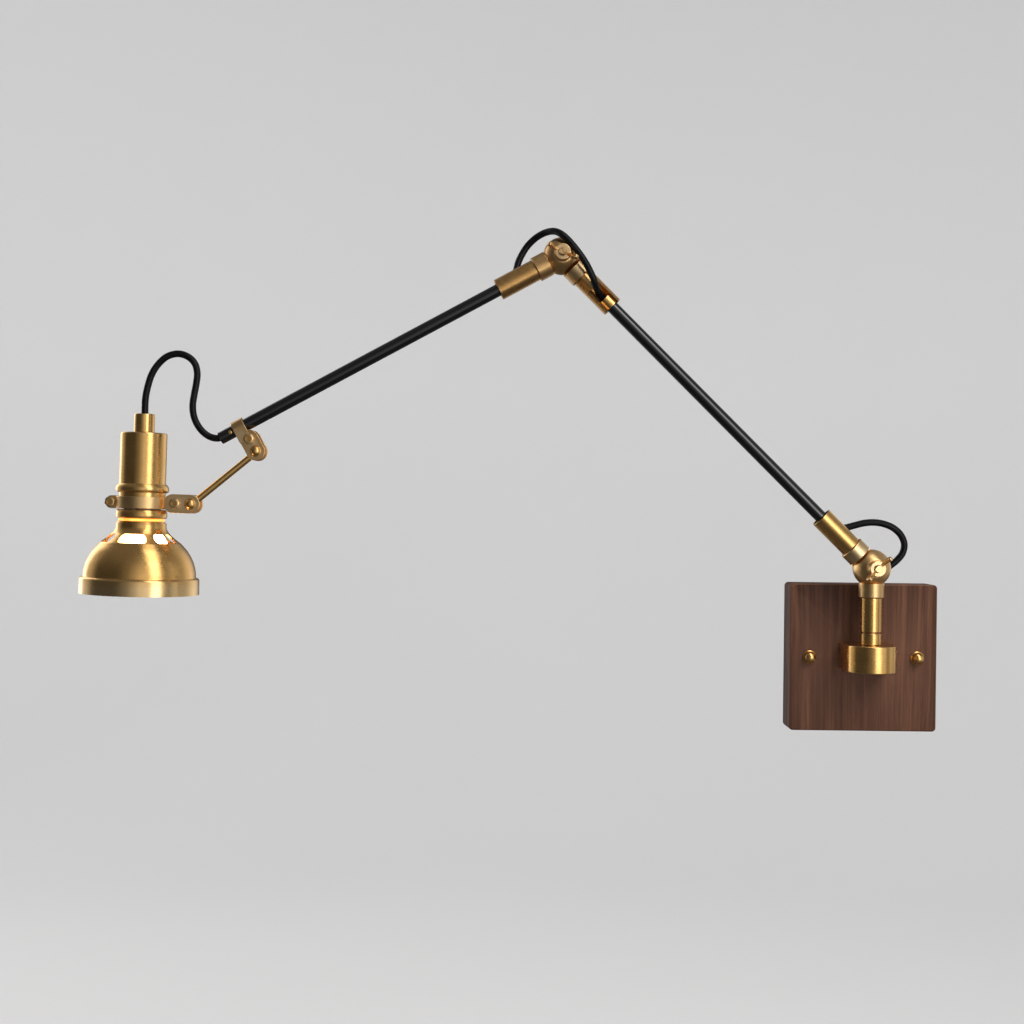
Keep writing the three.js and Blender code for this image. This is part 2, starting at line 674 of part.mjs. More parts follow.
// A threaded sleeve with a closed top that carries the centre contact and a flange that
// bears on the shade from inside.
function lampholder() {
  const { outer, bore, flange, top, bottom } = HOLDER;
  return turned([
    [bore, bottom],
    [flange, bottom],
    [flange, bottom + 1.6],
    [outer, bottom + 1.6],
    [outer, top],
    [13, top + 4],
    [5, top + 8],
    [0, top + 8],
    [0, top - 2],
    [bore, top - 2],
    [bore, bottom],
  ], 24);
}

function neckRing() {
  const inner = HOLDER.outer + GAP;
  return turned([
    [inner, -12.6],
    [19.1, -12.6],
    [19.8, -11.6],
    [20.1, -9.8],
    [19.7, -7.4],
    [18.6, -5.5],
    [inner, -5.5],
    [inner, -12.6],
  ]);
}

// The shade's outside radii from its top lip to its rim, and the same wall inside.
function shade() {
  const outside = [
    [18.7, SHADE.top],
    [18.4, -17.8],
    [18.8, -21],
    [21, -24.8],
    [25.6, -28.8],
    [31, -33.2],
    [36.4, -39.6],
    [40.6, -47.4],
    [42.8, -56],
    [43.2, -60],
    [45.4, -60.8],
    [SHADE.rim, -61.8],
    [SHADE.rim, SHADE.bottom],
  ];
  const inside = outside.slice(1).map(([radius, z]) => [radius - SHADE.wall - 0.2, z]);
  const under = SHADE.top - 1.6;
  inside[0][1] = under;
  const lip = [[SHADE.hole, SHADE.top], [SHADE.hole, under]];
  const profile = [...outside].reverse();
  const shell = turned([...profile, ...lip, ...inside, profile[0]], 36);
  const vents = [];
  for (let i = 0; i < VENT.count; i += 1) {
    const middle = (i * 360) / VENT.count;
    vents.push(ventCutter().rotateZ(radians(middle - 90)));
  }
  return cut(shell, ...vents);
}

// A wedge that cuts one vent, centred on +X.
function ventCutter() {
  const half = radians(VENT.width / 2);
  const outline = new THREE.Shape();
  outline.absarc(0, 0, 45, -half, half);
  outline.absarc(0, 0, 12, half, -half, true);
  const options = { depth: VENT.height, bevelEnabled: false, curveSegments: 1 };
  return new THREE.ExtrudeGeometry(outline, options).translate(0, 0, VENT.bottom);
}

// The screw cap and the glass are thin shells, open where they meet.
function bulbCap() {
  const { cap, capTop, capBottom } = BULB;
  return turned([
    [0, capTop - 2.2],
    [cap - 4.2, capTop - 4],
    [cap - 1, capTop - 7.6],
    [cap - 1, capBottom],
    [cap, capBottom],
    [cap, capTop - 7],
    [cap - 3.4, capTop - 3],
    [4.6, capTop - 1.4],
    [4.6, capTop],
    [0, capTop],
  ], 20);
}

function bulbGlass() {
  const { glass, centre, capBottom, wall } = BULB;
  const shell = (radius) => {
    const arc = [];
    for (let angle = -72; angle <= 54; angle += 18) {
      arc.push([radius * Math.cos(radians(angle)), centre + radius * Math.sin(radians(angle))]);
    }
    return [[0, centre - radius], ...arc];
  };
  const outside = [...shell(glass), [12, capBottom - 3], [11.6, capBottom + 4]];
  const inside = [...shell(glass - wall), [12 - wall, capBottom - 3], [11.6 - wall, capBottom + 4]];
  return turned([...outside, ...inside.reverse()], 18);
}

const bandOut = BAND.split + 1.8;
add(headAxis, "band_front", "brass", bandHalf(-1));
add(headAxis, "band_rear", "brass", bandHalf(1));
add(headAxis, "band_screw_left", "brass", hexScrew(bandOut, 5).translate(-BAND_EAR.screw, 0, 0));
add(headAxis, "band_screw_right", "brass", hexScrew(platesOut, 8.6).translate(BAND_PLATE.screw, 0, 0));
add(head, "band_rivet", "brass", pivotRivet());
add(headAxis, "cord_grip", "brass", cordGrip());
add(headAxis, "socket_cover", "brass", socketCover());
add(headAxis, "bead_ring", "brass", beadRing());
add(headAxis, "lampholder", "porcelain", lampholder());
add(headAxis, "neck_ring", "brass", neckRing());
add(headAxis, "neck_gasket", "silicone", pipe(GASKET.outer, HOLDER.outer + GAP, GASKET.bottom, GASKET.top));
add(headAxis, "shade", "brass", shade());
add(headAxis, "bulb_cap", "nickel", bulbCap());
add(headAxis, "bulb_glass", "glass", bulbGlass());
add(cables, "head_lead_upper", "pvc", cable(HEAD_LEAD_UPPER, CABLE, 10));
add(cables, "head_lead_lower", "pvc", cable(HEAD_LEAD_LOWER, CABLE, 18));

export default sconce;
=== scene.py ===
"""A swing arm wall sconce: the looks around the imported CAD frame.

Every shape is drawn in millimetres in a frame of its own, whose local Z axis is the axis that the piece is
turned on or extruded along. place() and its relatives put that frame into the model, which is in metres.
"""

import json
import math

import bmesh
import bpy
from mathutils import Matrix, Vector


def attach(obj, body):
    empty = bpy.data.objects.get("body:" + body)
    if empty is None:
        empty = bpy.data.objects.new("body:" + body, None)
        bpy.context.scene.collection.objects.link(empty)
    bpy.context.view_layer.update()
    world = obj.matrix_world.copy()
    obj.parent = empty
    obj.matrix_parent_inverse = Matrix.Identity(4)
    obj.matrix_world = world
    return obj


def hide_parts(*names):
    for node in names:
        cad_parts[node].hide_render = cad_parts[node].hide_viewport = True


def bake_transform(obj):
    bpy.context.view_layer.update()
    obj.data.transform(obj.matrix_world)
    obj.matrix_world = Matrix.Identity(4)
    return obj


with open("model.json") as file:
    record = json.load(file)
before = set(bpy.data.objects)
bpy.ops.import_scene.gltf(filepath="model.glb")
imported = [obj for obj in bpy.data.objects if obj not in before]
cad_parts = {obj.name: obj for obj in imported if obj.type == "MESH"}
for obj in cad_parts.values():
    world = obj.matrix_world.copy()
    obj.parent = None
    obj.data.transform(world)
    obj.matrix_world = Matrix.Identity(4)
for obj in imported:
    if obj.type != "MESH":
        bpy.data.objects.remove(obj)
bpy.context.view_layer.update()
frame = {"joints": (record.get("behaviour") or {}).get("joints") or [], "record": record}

MM = 0.001

# ---------------- driving sizes, in mm

PIVOT = {joint["name"]: Vector(joint["pos_m"]) / MM for joint in frame["joints"]}
BODY_OF = {node: body for body, nodes in frame["record"]["behaviour"]["bodies"].items() for node in nodes}

ARM_Y = PIVOT["shoulder"].y
ARM_1_ANGLE = 135.5
ARM_2_ANGLE = 208.8
LINK_ANGLE = 219.7
HEAD_TILT = 1.1
HEAD_OFFSET = 40
SLOTS = {"post": 180, "lower": 128, "elbow": 0, "upper": 130}
WING_ANGLES = {"shoulder": 45, "elbow": 155.5}

PLATE_SIDE, PLATE_DEPTH, POCKET_DEPTH = 120, 28, 20
STUD_X, STUD_RADIUS = 44, 2
TERMINALS, TERMINAL_Y = (-7, 0, 7), -30
NIPPLE_Z = 1.8

BALL, CUP, FACE = 15, 17, 13.2
NECK, NECK_END, STEM, STEM_END = 10.1, 23.5, 6.5, 36
SLEEVE, SLEEVE_BORE, SLEEVE_SLOT, SLEEVE_END = 8.6, 6.8, 10.5, 57.5
TUBE, TUBE_BORE, TUBE_FROM = 5, 4, 48.8
LEAD_FROM = 52.4
CABLE, CORE = 2.75, 1.6
BOLT = 3
GAP = 0.3

PLATE_IN, PLATE_OUT, PLATE_RADIUS = 5.3, 6.9, 7.5
CLAMP_AT, STRAP_AT, STOP_PIN_AT, STOP_PIN = 289, 292, 300, 1.6
CLAMP_SCREW, CLAMP_PIVOT = 12, 23
RIVET, RIVET_HEAD, SCREW_HOLE, SCREW_TAIL = 2.5, 4.5, 2.3, 8.6

# The free cables' routes and the supply lead's, in metres.
SHOULDER_LOOP = [
    (-0.0371, -0.052, 0.1105), (-0.0352, -0.0519, 0.1089), (-0.032, -0.0511, 0.1071),
    (-0.0281, -0.0494, 0.1063), (-0.0238, -0.0472, 0.1061), (-0.0196, -0.0452, 0.1062),
    (-0.0116, -0.042, 0.1081), (-0.0034, -0.0395, 0.11), (0.0052, -0.0375, 0.1106),
    (0.0134, -0.036, 0.1095), (0.0214, -0.035, 0.1063), (0.0277, -0.0343, 0.1007),
    (0.0308, -0.0338, 0.0934), (0.0296, -0.0335, 0.086), (0.025, -0.0332, 0.0799),
    (0.0186, -0.033, 0.0746), (0.0122, -0.0328, 0.0686), (0.0064, -0.033, 0.0615),
    (0.0022, -0.0342, 0.0538), (0.0003, -0.0374, 0.0464), (0.0, -0.0426, 0.0409),
    (0.0, -0.0484, 0.0372), (0.0, -0.0516, 0.0336), (0.0, -0.052, 0.0314),
]
ELBOW_LOOP = [
    (-0.214, -0.052, 0.2844), (-0.2158, -0.0523, 0.2861), (-0.2186, -0.0538, 0.2882),
    (-0.2211, -0.0568, 0.2903), (-0.2228, -0.0606, 0.2928), (-0.2245, -0.0636, 0.296),
    (-0.2266, -0.0662, 0.3012), (-0.2297, -0.0673, 0.3076), (-0.2333, -0.0676, 0.3139),
    (-0.2374, -0.0678, 0.3198), (-0.2435, -0.0674, 0.3274), (-0.2503, -0.0649, 0.3347),
    (-0.257, -0.0584, 0.3393), (-0.2642, -0.0506, 0.3398), (-0.2716, -0.0446, 0.3368),
    (-0.2784, -0.0422, 0.3306), (-0.2833, -0.0424, 0.3228), (-0.286, -0.0434, 0.3163),
    (-0.2872, -0.0448, 0.3111), (-0.2885, -0.0469, 0.307), (-0.29, -0.0492, 0.3032),
    (-0.2919, -0.051, 0.2997), (-0.2945, -0.0519, 0.2971), (-0.2966, -0.052, 0.2958),
]
HEAD_LEAD_UPPER = [
    (-0.5177, -0.052, 0.1742), (-0.5206, -0.052, 0.1727), (-0.5252, -0.052, 0.1716),
    (-0.5308, -0.052, 0.1727), (-0.5365, -0.052, 0.1764), (-0.5414, -0.052, 0.1826),
    (-0.5444, -0.052, 0.1902), (-0.5451, -0.052, 0.1985), (-0.54396, -0.052, 0.20702),
]
HEAD_LEAD_LOWER = [
    (-0.54398, -0.052, 0.20694), (-0.5424, -0.052, 0.216), (-0.5419, -0.052, 0.2243),
    (-0.5441, -0.052, 0.2316), (-0.5497, -0.052, 0.2368), (-0.5574, -0.052, 0.2389),
    (-0.5659, -0.052, 0.2367), (-0.5726, -0.052, 0.231), (-0.5779, -0.052, 0.2229),
    (-0.5812, -0.052, 0.2128), (-0.583, -0.052, 0.2032), (-0.58335, -0.052, 0.1924),
    (-0.5835, -0.052, 0.1836),
]
SUPPLY_LEAD = [
    (0, -0.01, -0.0236), (0, -0.0096, -0.014), (0, -0.0102, -0.005), (0, -0.0134, 0.0004),
    (0, -0.019, 0.0018), (0, -0.034, 0.0018), (0, -0.043, 0.0012), (0, -0.0482, -0.0009),
    (0, -0.0512, -0.0002), (0, -0.052, 0.003),
]


def add(name, data):
    """A new object in the scene."""
    made = bpy.data.objects.new(name, data)
    bpy.context.scene.collection.objects.link(made)
    return made


# ---------------- camera

CAMERA_AT = (-0.2885, -1.202, 0.1155)
CAMERA_LENS, CAMERA_ROLL = 50.5, -0.7


def make_camera():
    """The camera stands in front of the arms and is rolled a little, as in the photograph."""
    data = bpy.data.cameras.new("camera")
    data.lens = CAMERA_LENS
    camera = add("camera", data)
    roll = Matrix.Rotation(math.radians(CAMERA_ROLL), 4, "Y")
    level = Matrix.Rotation(math.pi / 2, 4, "X")
    camera.matrix_world = Matrix.Translation(CAMERA_AT) @ roll @ level
    bpy.context.scene.camera = camera


make_camera()


# ---------------- outlines

def arc(x, y, radius, start, end, steps=10):
    """Points round a centre, from one angle in degrees to another."""
    angles = [math.radians(start + (end - start) * i / steps) for i in range(steps + 1)]
    return [(x + radius * math.cos(a), y + radius * math.sin(a)) for a in angles]


def rounded(corners, radius=0.4, closed=True, steps=4):
    """Turns each corner into an arc. A corner is (x, y), or (x, y, a radius of its own)."""
    chain = []
    for i, corner in enumerate(corners):
        here = Vector(corner[:2])
        wanted = corner[2] if len(corner) > 2 else radius
        before = Vector(corners[i - 1][:2]) - here
        after = Vector(corners[(i + 1) % len(corners)][:2]) - here
        at_end = not closed and i in (0, len(corners) - 1)
        angle = math.pi if at_end else before.angle(after)
        if wanted == 0 or angle > math.radians(176):
            chain.append(tuple(here))
            continue
        room = 0.45 * min(before.length, after.length)
        reach = min(wanted / math.tan(angle / 2), room)
        guard = min(0.15, 0.4 * (room - reach))
        before.normalize()
        after.normalize()
        size = reach * math.tan(angle / 2)
        centre = here + (before + after).normalized() * (size / math.sin(angle / 2))
        first = here + before * reach - centre
        last = here + after * reach - centre
        sweep = first.angle(last)
        if guard > 0.01:
            chain.append(tuple(here + before * (reach + guard)))
        for k in range(steps + 1):
            part = sweep * k / steps
            spoke = (first * math.sin(sweep - part) + last * math.sin(part)) / math.sin(sweep)
            chain.append(tuple(centre + spoke))
        if guard > 0.01:
            chain.append(tuple(here + after * (reach + guard)))
    return chain


def ring_profile(corners, radius=0.4):
    """A closed turning profile that never meets the axis."""
    chain = rounded(corners, radius)
    return chain + chain[:1]


def solid_profile(corners, radius=0.4):
    """A turning profile from the axis to the axis."""
    return rounded(corners, radius, closed=False)


def through(points, steps=6):
    """A smooth centripetal curve through points of two or three coordinates."""
    points = [Vector(p) for p in points]
    points = [points[0] * 2 - points[1]] + points + [points[-1] * 2 - points[-2]]
    chain = []
    for a, b, c, d in zip(points, points[1:], points[2:], points[3:]):
        t1 = (b - a).length ** 0.5
        t2 = t1 + (c - b).length ** 0.5
        t3 = t2 + (d - c).length ** 0.5
        for k in range(steps):
            t = t1 + (t2 - t1) * k / steps
            ab = a * ((t1 - t) / t1) + b * (t / t1)
            bc = b * ((t2 - t) / (t2 - t1)) + c * ((t - t1) / (t2 - t1))
            cd = c * ((t3 - t) / (t3 - t2)) + d * ((t - t2) / (t3 - t2))
            abc = ab * ((t2 - t) / t2) + bc * (t / t2)
            bcd = bc * ((t3 - t) / (t3 - t1)) + cd * ((t - t1) / (t3 - t1))
            chain.append(abc * ((t2 - t) / (t2 - t1)) + bcd * ((t - t1) / (t2 - t1)))
    return chain + [points[-2]]


def offset(chain, distance):
    """An open chain moved to its left by a distance."""
    beside = []
    for i, here in enumerate(chain):
        before = Vector(chain[max(i - 1, 0)])
        after = Vector(chain[min(i + 1, len(chain) - 1)])
        ahead = (after - before).normalized()
        beside.append((here[0] - ahead.y * distance, here[1] + ahead.x * distance))
    return beside


def bar(x_from, x_to, radius, steps=14):
    """A flat bar's outline, with a half circle round each end."""
    return arc(x_to, 0, radius, -90, 90, steps) + arc(x_from, 0, radius, 90, 270, steps)


def hexagon(across_flats):
    size = across_flats / math.sqrt(3)
    corners = [(size * math.cos(a), size * math.sin(a)) for a in (math.pi * k / 3 for k in range(6))]
    return rounded(corners, 0.35)


def rectangle(width, height, corner, x=0, y=0):
    w, h = width / 2, height / 2
    return rounded([(x + w, y - h), (x + w, y + h), (x - w, y + h), (x - w, y - h)], corner, steps=6)


def threads(radius, low, high, pitch=0.7, depth=0.3):
    """A screw thread's profile, as rings: crests and roots from low to high."""
    turns = int((high - low) / pitch)
    chain = []
    for k in range(turns):
        start = low + k * pitch
        chain += [(radius - depth, start), (radius, start + 0.35 * pitch), (radius, start + 0.55 * pitch)]
    return chain + [(radius - depth, low + turns * pitch)]


# ---------------- shapes

def shape_of(points, faces, unit=MM):
    """A closed mesh with its faces pointing out."""
    mesh = bpy.data.meshes.new("shape")
    mesh.from_pydata([Vector(p) * unit for p in points], [], faces)
    work = bmesh.new()
    work.from_mesh(mesh)
    bmesh.ops.recalc_face_normals(work, faces=work.faces)
    work.to_mesh(mesh)
    work.free()
    return mesh


def bridge(rings):
    """Faces between neighbouring rings of point numbers."""
    faces = []
    for low, high in zip(rings, rings[1:]):
        for i in range(len(low)):
            j = (i + 1) % len(low)
            face = list(dict.fromkeys([low[i], low[j], high[j], high[i]]))
            if len(face) > 2:
                faces.append(face)
    return faces


def turned(profile, sides=96):
    """A piece turned from (radius, height) points round the local Z axis."""
    closed = profile[0] == profile[-1]
    points, rings = [], []
    for radius, height in profile[:-1] if closed else profile:
        if radius < 1e-6:
            rings.append([len(points)] * sides)
            points.append((0, 0, height))
            continue
        rings.append(range(len(points), len(points) + sides))
        points += [(radius * math.cos(a), radius * math.sin(a), height)
                   for a in (2 * math.pi * k / sides for k in range(sides))]
    if closed:
        rings.append(rings[0])
    return shape_of(points, bridge(rings))


def prism(outline, low, high, edge=0.3, steps=3, guard=0.12):
    """A slab along local Z from a closed outline, its edges rounded."""
    flat = [Vector(p) for p in outline]
    around = list(zip(flat, flat[1:] + flat[:1]))
    if sum(a.x * b.y - b.x * a.y for a, b in around) < 0:
        flat.reverse()
    inward = []
    for i, here in enumerate(flat):
        first = (here - flat[i - 1]).normalized()
        second = (flat[(i + 1) % len(flat)] - here).normalized()
        lean = Vector((-first.y - second.y, first.x + second.x))
        inward.append(lean / (1 + first.dot(second)))
    angles = [math.pi / 2 * k / steps for k in range(steps + 1)]
    side = [(edge + guard, low)]
    side += [(edge * (1 - math.sin(a)), low + edge * (1 - math.cos(a))) for a in angles]
    side += [(0, low + edge + guard), (0, high - edge - guard)]
    side += [(edge * (1 - math.cos(a)), high - edge * (1 - math.sin(a))) for a in angles]
    side += [(edge + guard, high)]
    points, rings = [], []
    for inset, height in side:
        rings.append(range(len(points), len(points) + len(flat)))
        points += [(*(p + lean * inset), height) for p, lean in zip(flat, inward)]
    return shape_of(points, bridge(rings) + [list(rings[0]), list(rings[-1])])


def swept(path, radius, sides=20):
    """A round cable along points in metres, with its ends closed."""
    points, rings = [], []
    side = Vector((0, 1, 0))
    for i, here in enumerate(path):
        ahead = (path[min(i + 1, len(path) - 1)] - path[max(i - 1, 0)]).normalized()
        side = (side - ahead * side.dot(ahead)).normalized()
        other = ahead.cross(side)
        rings.append(range(len(points), len(points) + sides))
        for k in range(sides):
            a = 2 * math.pi * k / sides
            points.append(here + (side * math.cos(a) + other * math.sin(a)) * radius)
    return shape_of(points, bridge(rings) + [list(rings[0]), list(rings[-1])], unit=1)


def combined(base, others, operation):
    """Joins other shapes to a shape, cuts them from it, or keeps what is common."""
    body = add("body", base)
    tools = [add("tool", other) for other in others]
    for tool in tools:
        modifier = body.modifiers.new("boolean", "BOOLEAN")
        modifier.operation = operation
        modifier.solver = "EXACT"
        modifier.object = tool
    result = bpy.data.meshes.new_from_object(body.evaluated_get(bpy.context.evaluated_depsgraph_get()))
    for spent in [body, *tools]:
        mesh = spent.data
        bpy.data.objects.remove(spent)
        bpy.data.meshes.remove(mesh)
    return result


def cut(base, *tools):
    return combined(base, tools, "DIFFERENCE")


def join(base, *others):
    return combined(base, others, "UNION")


def common(base, *others):
    return combined(base, others, "INTERSECT")


def moved(mesh, x=0, y=0, z=0):
    mesh.transform(Matrix.Translation(Vector((x, y, z)) * MM))
    return mesh


def turn(mesh, degrees, axis):
    mesh.transform(Matrix.Rotation(math.radians(degrees), 4, axis))
    return mesh


def to_y(mesh):
    """Lays a shape's axis along local +Y."""
    return turn(mesh, -90, "X")


def to_minus_y(mesh):
    return turn(mesh, 90, "X")


def rod(radius, low, high, edge=0.4, sides=48):
    return turned(solid_profile([(0, low), (radius, low), (radius, high), (0, high)], edge), sides)


def pipe(outer, bore, low, high, edge=0.3, sides=96):
    return turned(ring_profile([(bore, low), (outer, low), (outer, high), (bore, high)], edge), sides)


def drill(radius, low=-60, high=60, sides=48):
    """A plain tool for round holes."""
    return turned([(0, low), (radius, low), (radius, high), (0, high)], sides)


def box(width, depth, height, x=0, y=0, z=0):
    """A plain tool for flat cuts, centred on a point."""
    w, d, h = width / 2, depth / 2, height / 2
    points = [(x + i * w, y + j * d, z + k * h) for i in (-1, 1) for j in (-1, 1) for k in (-1, 1)]
    faces = [(0, 1, 3, 2), (4, 5, 7, 6), (0, 1, 5, 4), (2, 3, 7, 6), (0, 2, 6, 4), (1, 3, 7, 5)]
    return shape_of(points, faces)


# ---------------- places

def place(origin, z, x):
    """The frame whose origin is a point in mm, with its Z along z and its X towards x."""
    z = Vector(z).normalized()
    x = (Vector(x) - z * z.dot(Vector(x))).normalized()
    axes = Matrix((x, z.cross(x), z)).transposed().to_4x4()
    return Matrix.Translation(Vector(origin) * MM) @ axes


def facing(origin, degrees=0):
    """Z points to the front; X points right, turned by an angle."""
    turn_by = math.radians(degrees)
    return place(origin, (0, -1, 0), (math.cos(turn_by), 0, math.sin(turn_by)))


def along(origin, degrees):
    """Z points along an arm at that angle; Y points to the front."""
    angle = math.radians(degrees)
    return place(origin, (math.cos(angle), 0, math.sin(angle)), (-math.sin(angle), 0, math.cos(angle)))


def on_arm(origin, degrees, distance, below=0):
    """The point at a distance along an arm and that far to its lower side."""
    angle = math.radians(degrees)
    step = Vector((math.cos(angle), 0, math.sin(angle))) * distance
    return origin + step + Vector((-math.sin(angle), 0, math.cos(angle))) * below


HUB = place((0, ARM_Y, 0), (0, 0, 1), (1, 0, 0))
WALL = facing((0, 0, 0))
POST = along(PIVOT["shoulder"], -90)
ARM_1 = along(PIVOT["shoulder"], ARM_1_ANGLE)
ARM_1_END = along(PIVOT["elbow"], ARM_1_ANGLE + 180)
ARM_2 = along(PIVOT["elbow"], ARM_2_ANGLE)
LINK = along(PIVOT["link_swing"], LINK_ANGLE)
HEAD_UP = (math.sin(math.radians(HEAD_TILT)), 0, math.cos(math.radians(HEAD_TILT)))
HEAD_RIGHT = (HEAD_UP[2], 0, -HEAD_UP[0])
BAND_CENTRE = PIVOT["head_tilt"] - Vector(HEAD_RIGHT) * HEAD_OFFSET
HEAD = place(BAND_CENTRE, HEAD_UP, HEAD_RIGHT)


# ---------------- material nodes

def node(tree, kind, inputs=None, **settings):
    """Adds a node. An input is a value, or another node's output to link."""
    made = tree.nodes.new("ShaderNode" + kind)
    for key, value in settings.items():
        setattr(made, key, value)
    for key, value in (inputs or {}).items():
        if isinstance(value, bpy.types.NodeSocket):
            tree.links.new(value, made.inputs[key])
        else:
            made.inputs[key].default_value = value
    return made


def new_material(name, **surface):
    """A Principled material with its sockets set by name, its node tree and its object coordinates."""
    material = bpy.data.materials.new(name)
    material.use_nodes = True
    tree = material.node_tree
    for key, value in surface.items():
        tree.nodes["Principled BSDF"].inputs[key.replace("_", " ")].default_value = value
    return material, tree, node(tree, "TexCoord").outputs["Object"]


def surfaced(material, **outputs):
    """The material, with outputs linked by name to its shader's sockets."""
    tree = material.node_tree
    for key, output in outputs.items():
        tree.links.new(output, tree.nodes["Principled BSDF"].inputs[key.replace("_", " ")])
    return material


def stretched(tree, position, scale):
    """Object coordinates multiplied by a different scale along each axis."""
    return node(tree, "VectorMath", {0: position, 1: scale}, operation="MULTIPLY").outputs[0]


def noise(tree, vector, scale=1.0, detail=3.0, roughness=0.55, distortion=0.0):
    return node(tree, "TexNoise", {
        "Vector": vector,
        "Scale": scale,
        "Detail": detail,
        "Roughness": roughness,
        "Distortion": distortion,
    }).outputs["Fac"]


def remap(tree, value, low, high, to_low, to_high):
    inputs = {"Value": value, "From Min": low, "From Max": high, "To Min": to_low, "To Max": to_high}
    return node(tree, "MapRange", inputs).outputs["Result"]


def colour(value):
    """A node's output stays as it is, and (red, green, blue) gets its alpha."""
    return value if isinstance(value, bpy.types.NodeSocket) else (*value, 1)


def blend_colours(tree, factor, first, second):
    """The first colour where the factor is 0 and the second where it is 1."""
    inputs = {0: factor, 6: colour(first), 7: colour(second)}
    return node(tree, "Mix", inputs, data_type="RGBA").outputs[2]


def maths(tree, operation, first, second=0.0):
    return node(tree, "Math", {0: first, 1: second}, operation=operation).outputs[0]


def bump(tree, height, strength, distance, normal=None):
    inputs = {"Height": height, "Strength": strength, "Distance": distance}
    if normal:
        inputs["Normal"] = normal
    return node(tree, "Bump", inputs).outputs["Normal"]


# ---------------- materials

def brushed(name, light, dark, worn, roughness, anisotropy):
    """Lacquered metal, brushed on the lathe: fine rings round local Z, with soft patina and rubbed edges."""
    material, tree, position = new_material(
        name, Metallic=1.0, Anisotropic=anisotropy, Anisotropic_Rotation=0.25, Coat_Weight=0.05,
        Coat_Roughness=0.2)
    across = stretched(tree, position, (1, 1, 0))
    radius = node(tree, "VectorMath", {0: across}, operation="LENGTH").outputs["Value"]
    split = node(tree, "SeparateXYZ", {0: position})
    rings = node(tree, "CombineXYZ", {
        0: maths(tree, "MULTIPLY", split.outputs[0], 70),
        1: maths(tree, "MULTIPLY", radius, 3600),
        2: maths(tree, "MULTIPLY", split.outputs[2], 3600),
    }).outputs[0]
    fine = noise(tree, rings, detail=4)
    broad = noise(tree, stretched(tree, rings, (1, 0.16, 0.16)), detail=2)
    patina = noise(tree, position, scale=48, detail=5, roughness=0.6)
    smudge = noise(tree, position, scale=130, detail=2)
    edges = remap(tree, node(tree, "NewGeometry").outputs["Pointiness"], 0.5, 0.56, 0, 1)
    tone = remap(tree, patina, 0.32, 0.7, 0, 1)
    base = blend_colours(tree, tone, dark, light)
    lined = blend_colours(tree, remap(tree, fine, 0.3, 0.7, 0, 0.18), base, dark)
    rubbed = blend_colours(tree, maths(tree, "MULTIPLY", edges, 0.6), lined, worn)
    rough = maths(tree, "ADD", remap(tree, smudge, 0.3, 0.7, roughness - 0.04, roughness + 0.05),
                  remap(tree, fine, 0.3, 0.7, -0.03, 0.03))
    relief = bump(tree, fine, 0.05, 0.00006, bump(tree, broad, 0.02, 0.0002))
    return surfaced(material, Base_Color=rubbed, Roughness=rough, Normal=relief)


def walnut():
    """Oiled walnut with its grain along local Y: growth bands, darker streaks, pores and a satin surface."""
    material, tree, position = new_material("walnut", Specular_IOR_Level=0.16)
    sway = noise(tree, stretched(tree, position, (16, 5, 16)), detail=2)
    bent = node(tree, "VectorMath", {0: sway, 1: (0.011, 0, 0.011), 2: position}, operation="MULTIPLY_ADD")
    grain = bent.outputs[0]
    bands = noise(tree, stretched(tree, grain, (95, 2.6, 60)), detail=5, roughness=0.62, distortion=0.25)
    streaks = noise(tree, stretched(tree, grain, (520, 6.5, 300)), detail=5, roughness=0.65)
    pores = noise(tree, stretched(tree, grain, (2300, 60, 1500)), detail=2)
    cloud = noise(tree, stretched(tree, position, (13, 4, 13)), detail=2)
    ramp = node(tree, "ValToRGB", {"Fac": bands})
    stops = ramp.color_ramp.elements
    stops[0].position, stops[0].color = 0.36, colour((0.030, 0.0115, 0.0068))
    stops[1].position, stops[1].color = 0.66, colour((0.122, 0.051, 0.027))
    middle = stops.new(0.5)
    middle.color = colour((0.070, 0.0275, 0.0150))
    streaky = blend_colours(tree, remap(tree, streaks, 0.44, 0.62, 0, 0.6), ramp.outputs["Color"],
                            (0.026, 0.0100, 0.0062))
    clouded = blend_colours(tree, remap(tree, cloud, 0.38, 0.68, 0, 0.38), streaky, (0.128, 0.056, 0.031))
    pored = blend_colours(tree, remap(tree, pores, 0.60, 0.70, 0, 0.6), clouded, (0.020, 0.008, 0.006))
    edges = remap(tree, node(tree, "NewGeometry").outputs["Pointiness"], 0.51, 0.58, 0, 0.35)
    pits = remap(tree, pores, 0.6, 0.72, 0, 0.8)
    depth = maths(tree, "SUBTRACT", maths(tree, "MULTIPLY", streaks, 0.5), pits)
    return surfaced(material, Base_Color=blend_colours(tree, edges, pored, (0.19, 0.092, 0.056)),
                    Roughness=remap(tree, streaks, 0.3, 0.7, 0.46, 0.64),
                    Normal=bump(tree, depth, 0.35, 0.00025))


def enamel():
    """Gloss black paint over a tube: a faint orange peel, dust and polishing haze."""
    material, tree, position = new_material(
        "black_paint", Coat_Weight=1.0, Coat_Roughness=0.04, Coat_IOR=1.7, Specular_IOR_Level=0.05)
    haze = noise(tree, stretched(tree, position, (160, 160, 30)), detail=3)
    peel = noise(tree, position, scale=900, detail=1)
    specks = noise(tree, position, scale=2600, detail=1)
    dust = remap(tree, specks, 0.68, 0.76, 0, 0.5)
    dusty = blend_colours(tree, dust, (0.0015, 0.0015, 0.0017), (0.015, 0.014, 0.013))
    return surfaced(material, Base_Color=dusty, Roughness=remap(tree, haze, 0.3, 0.7, 0.16, 0.30),
                    Normal=bump(tree, peel, 0.05, 0.0002))


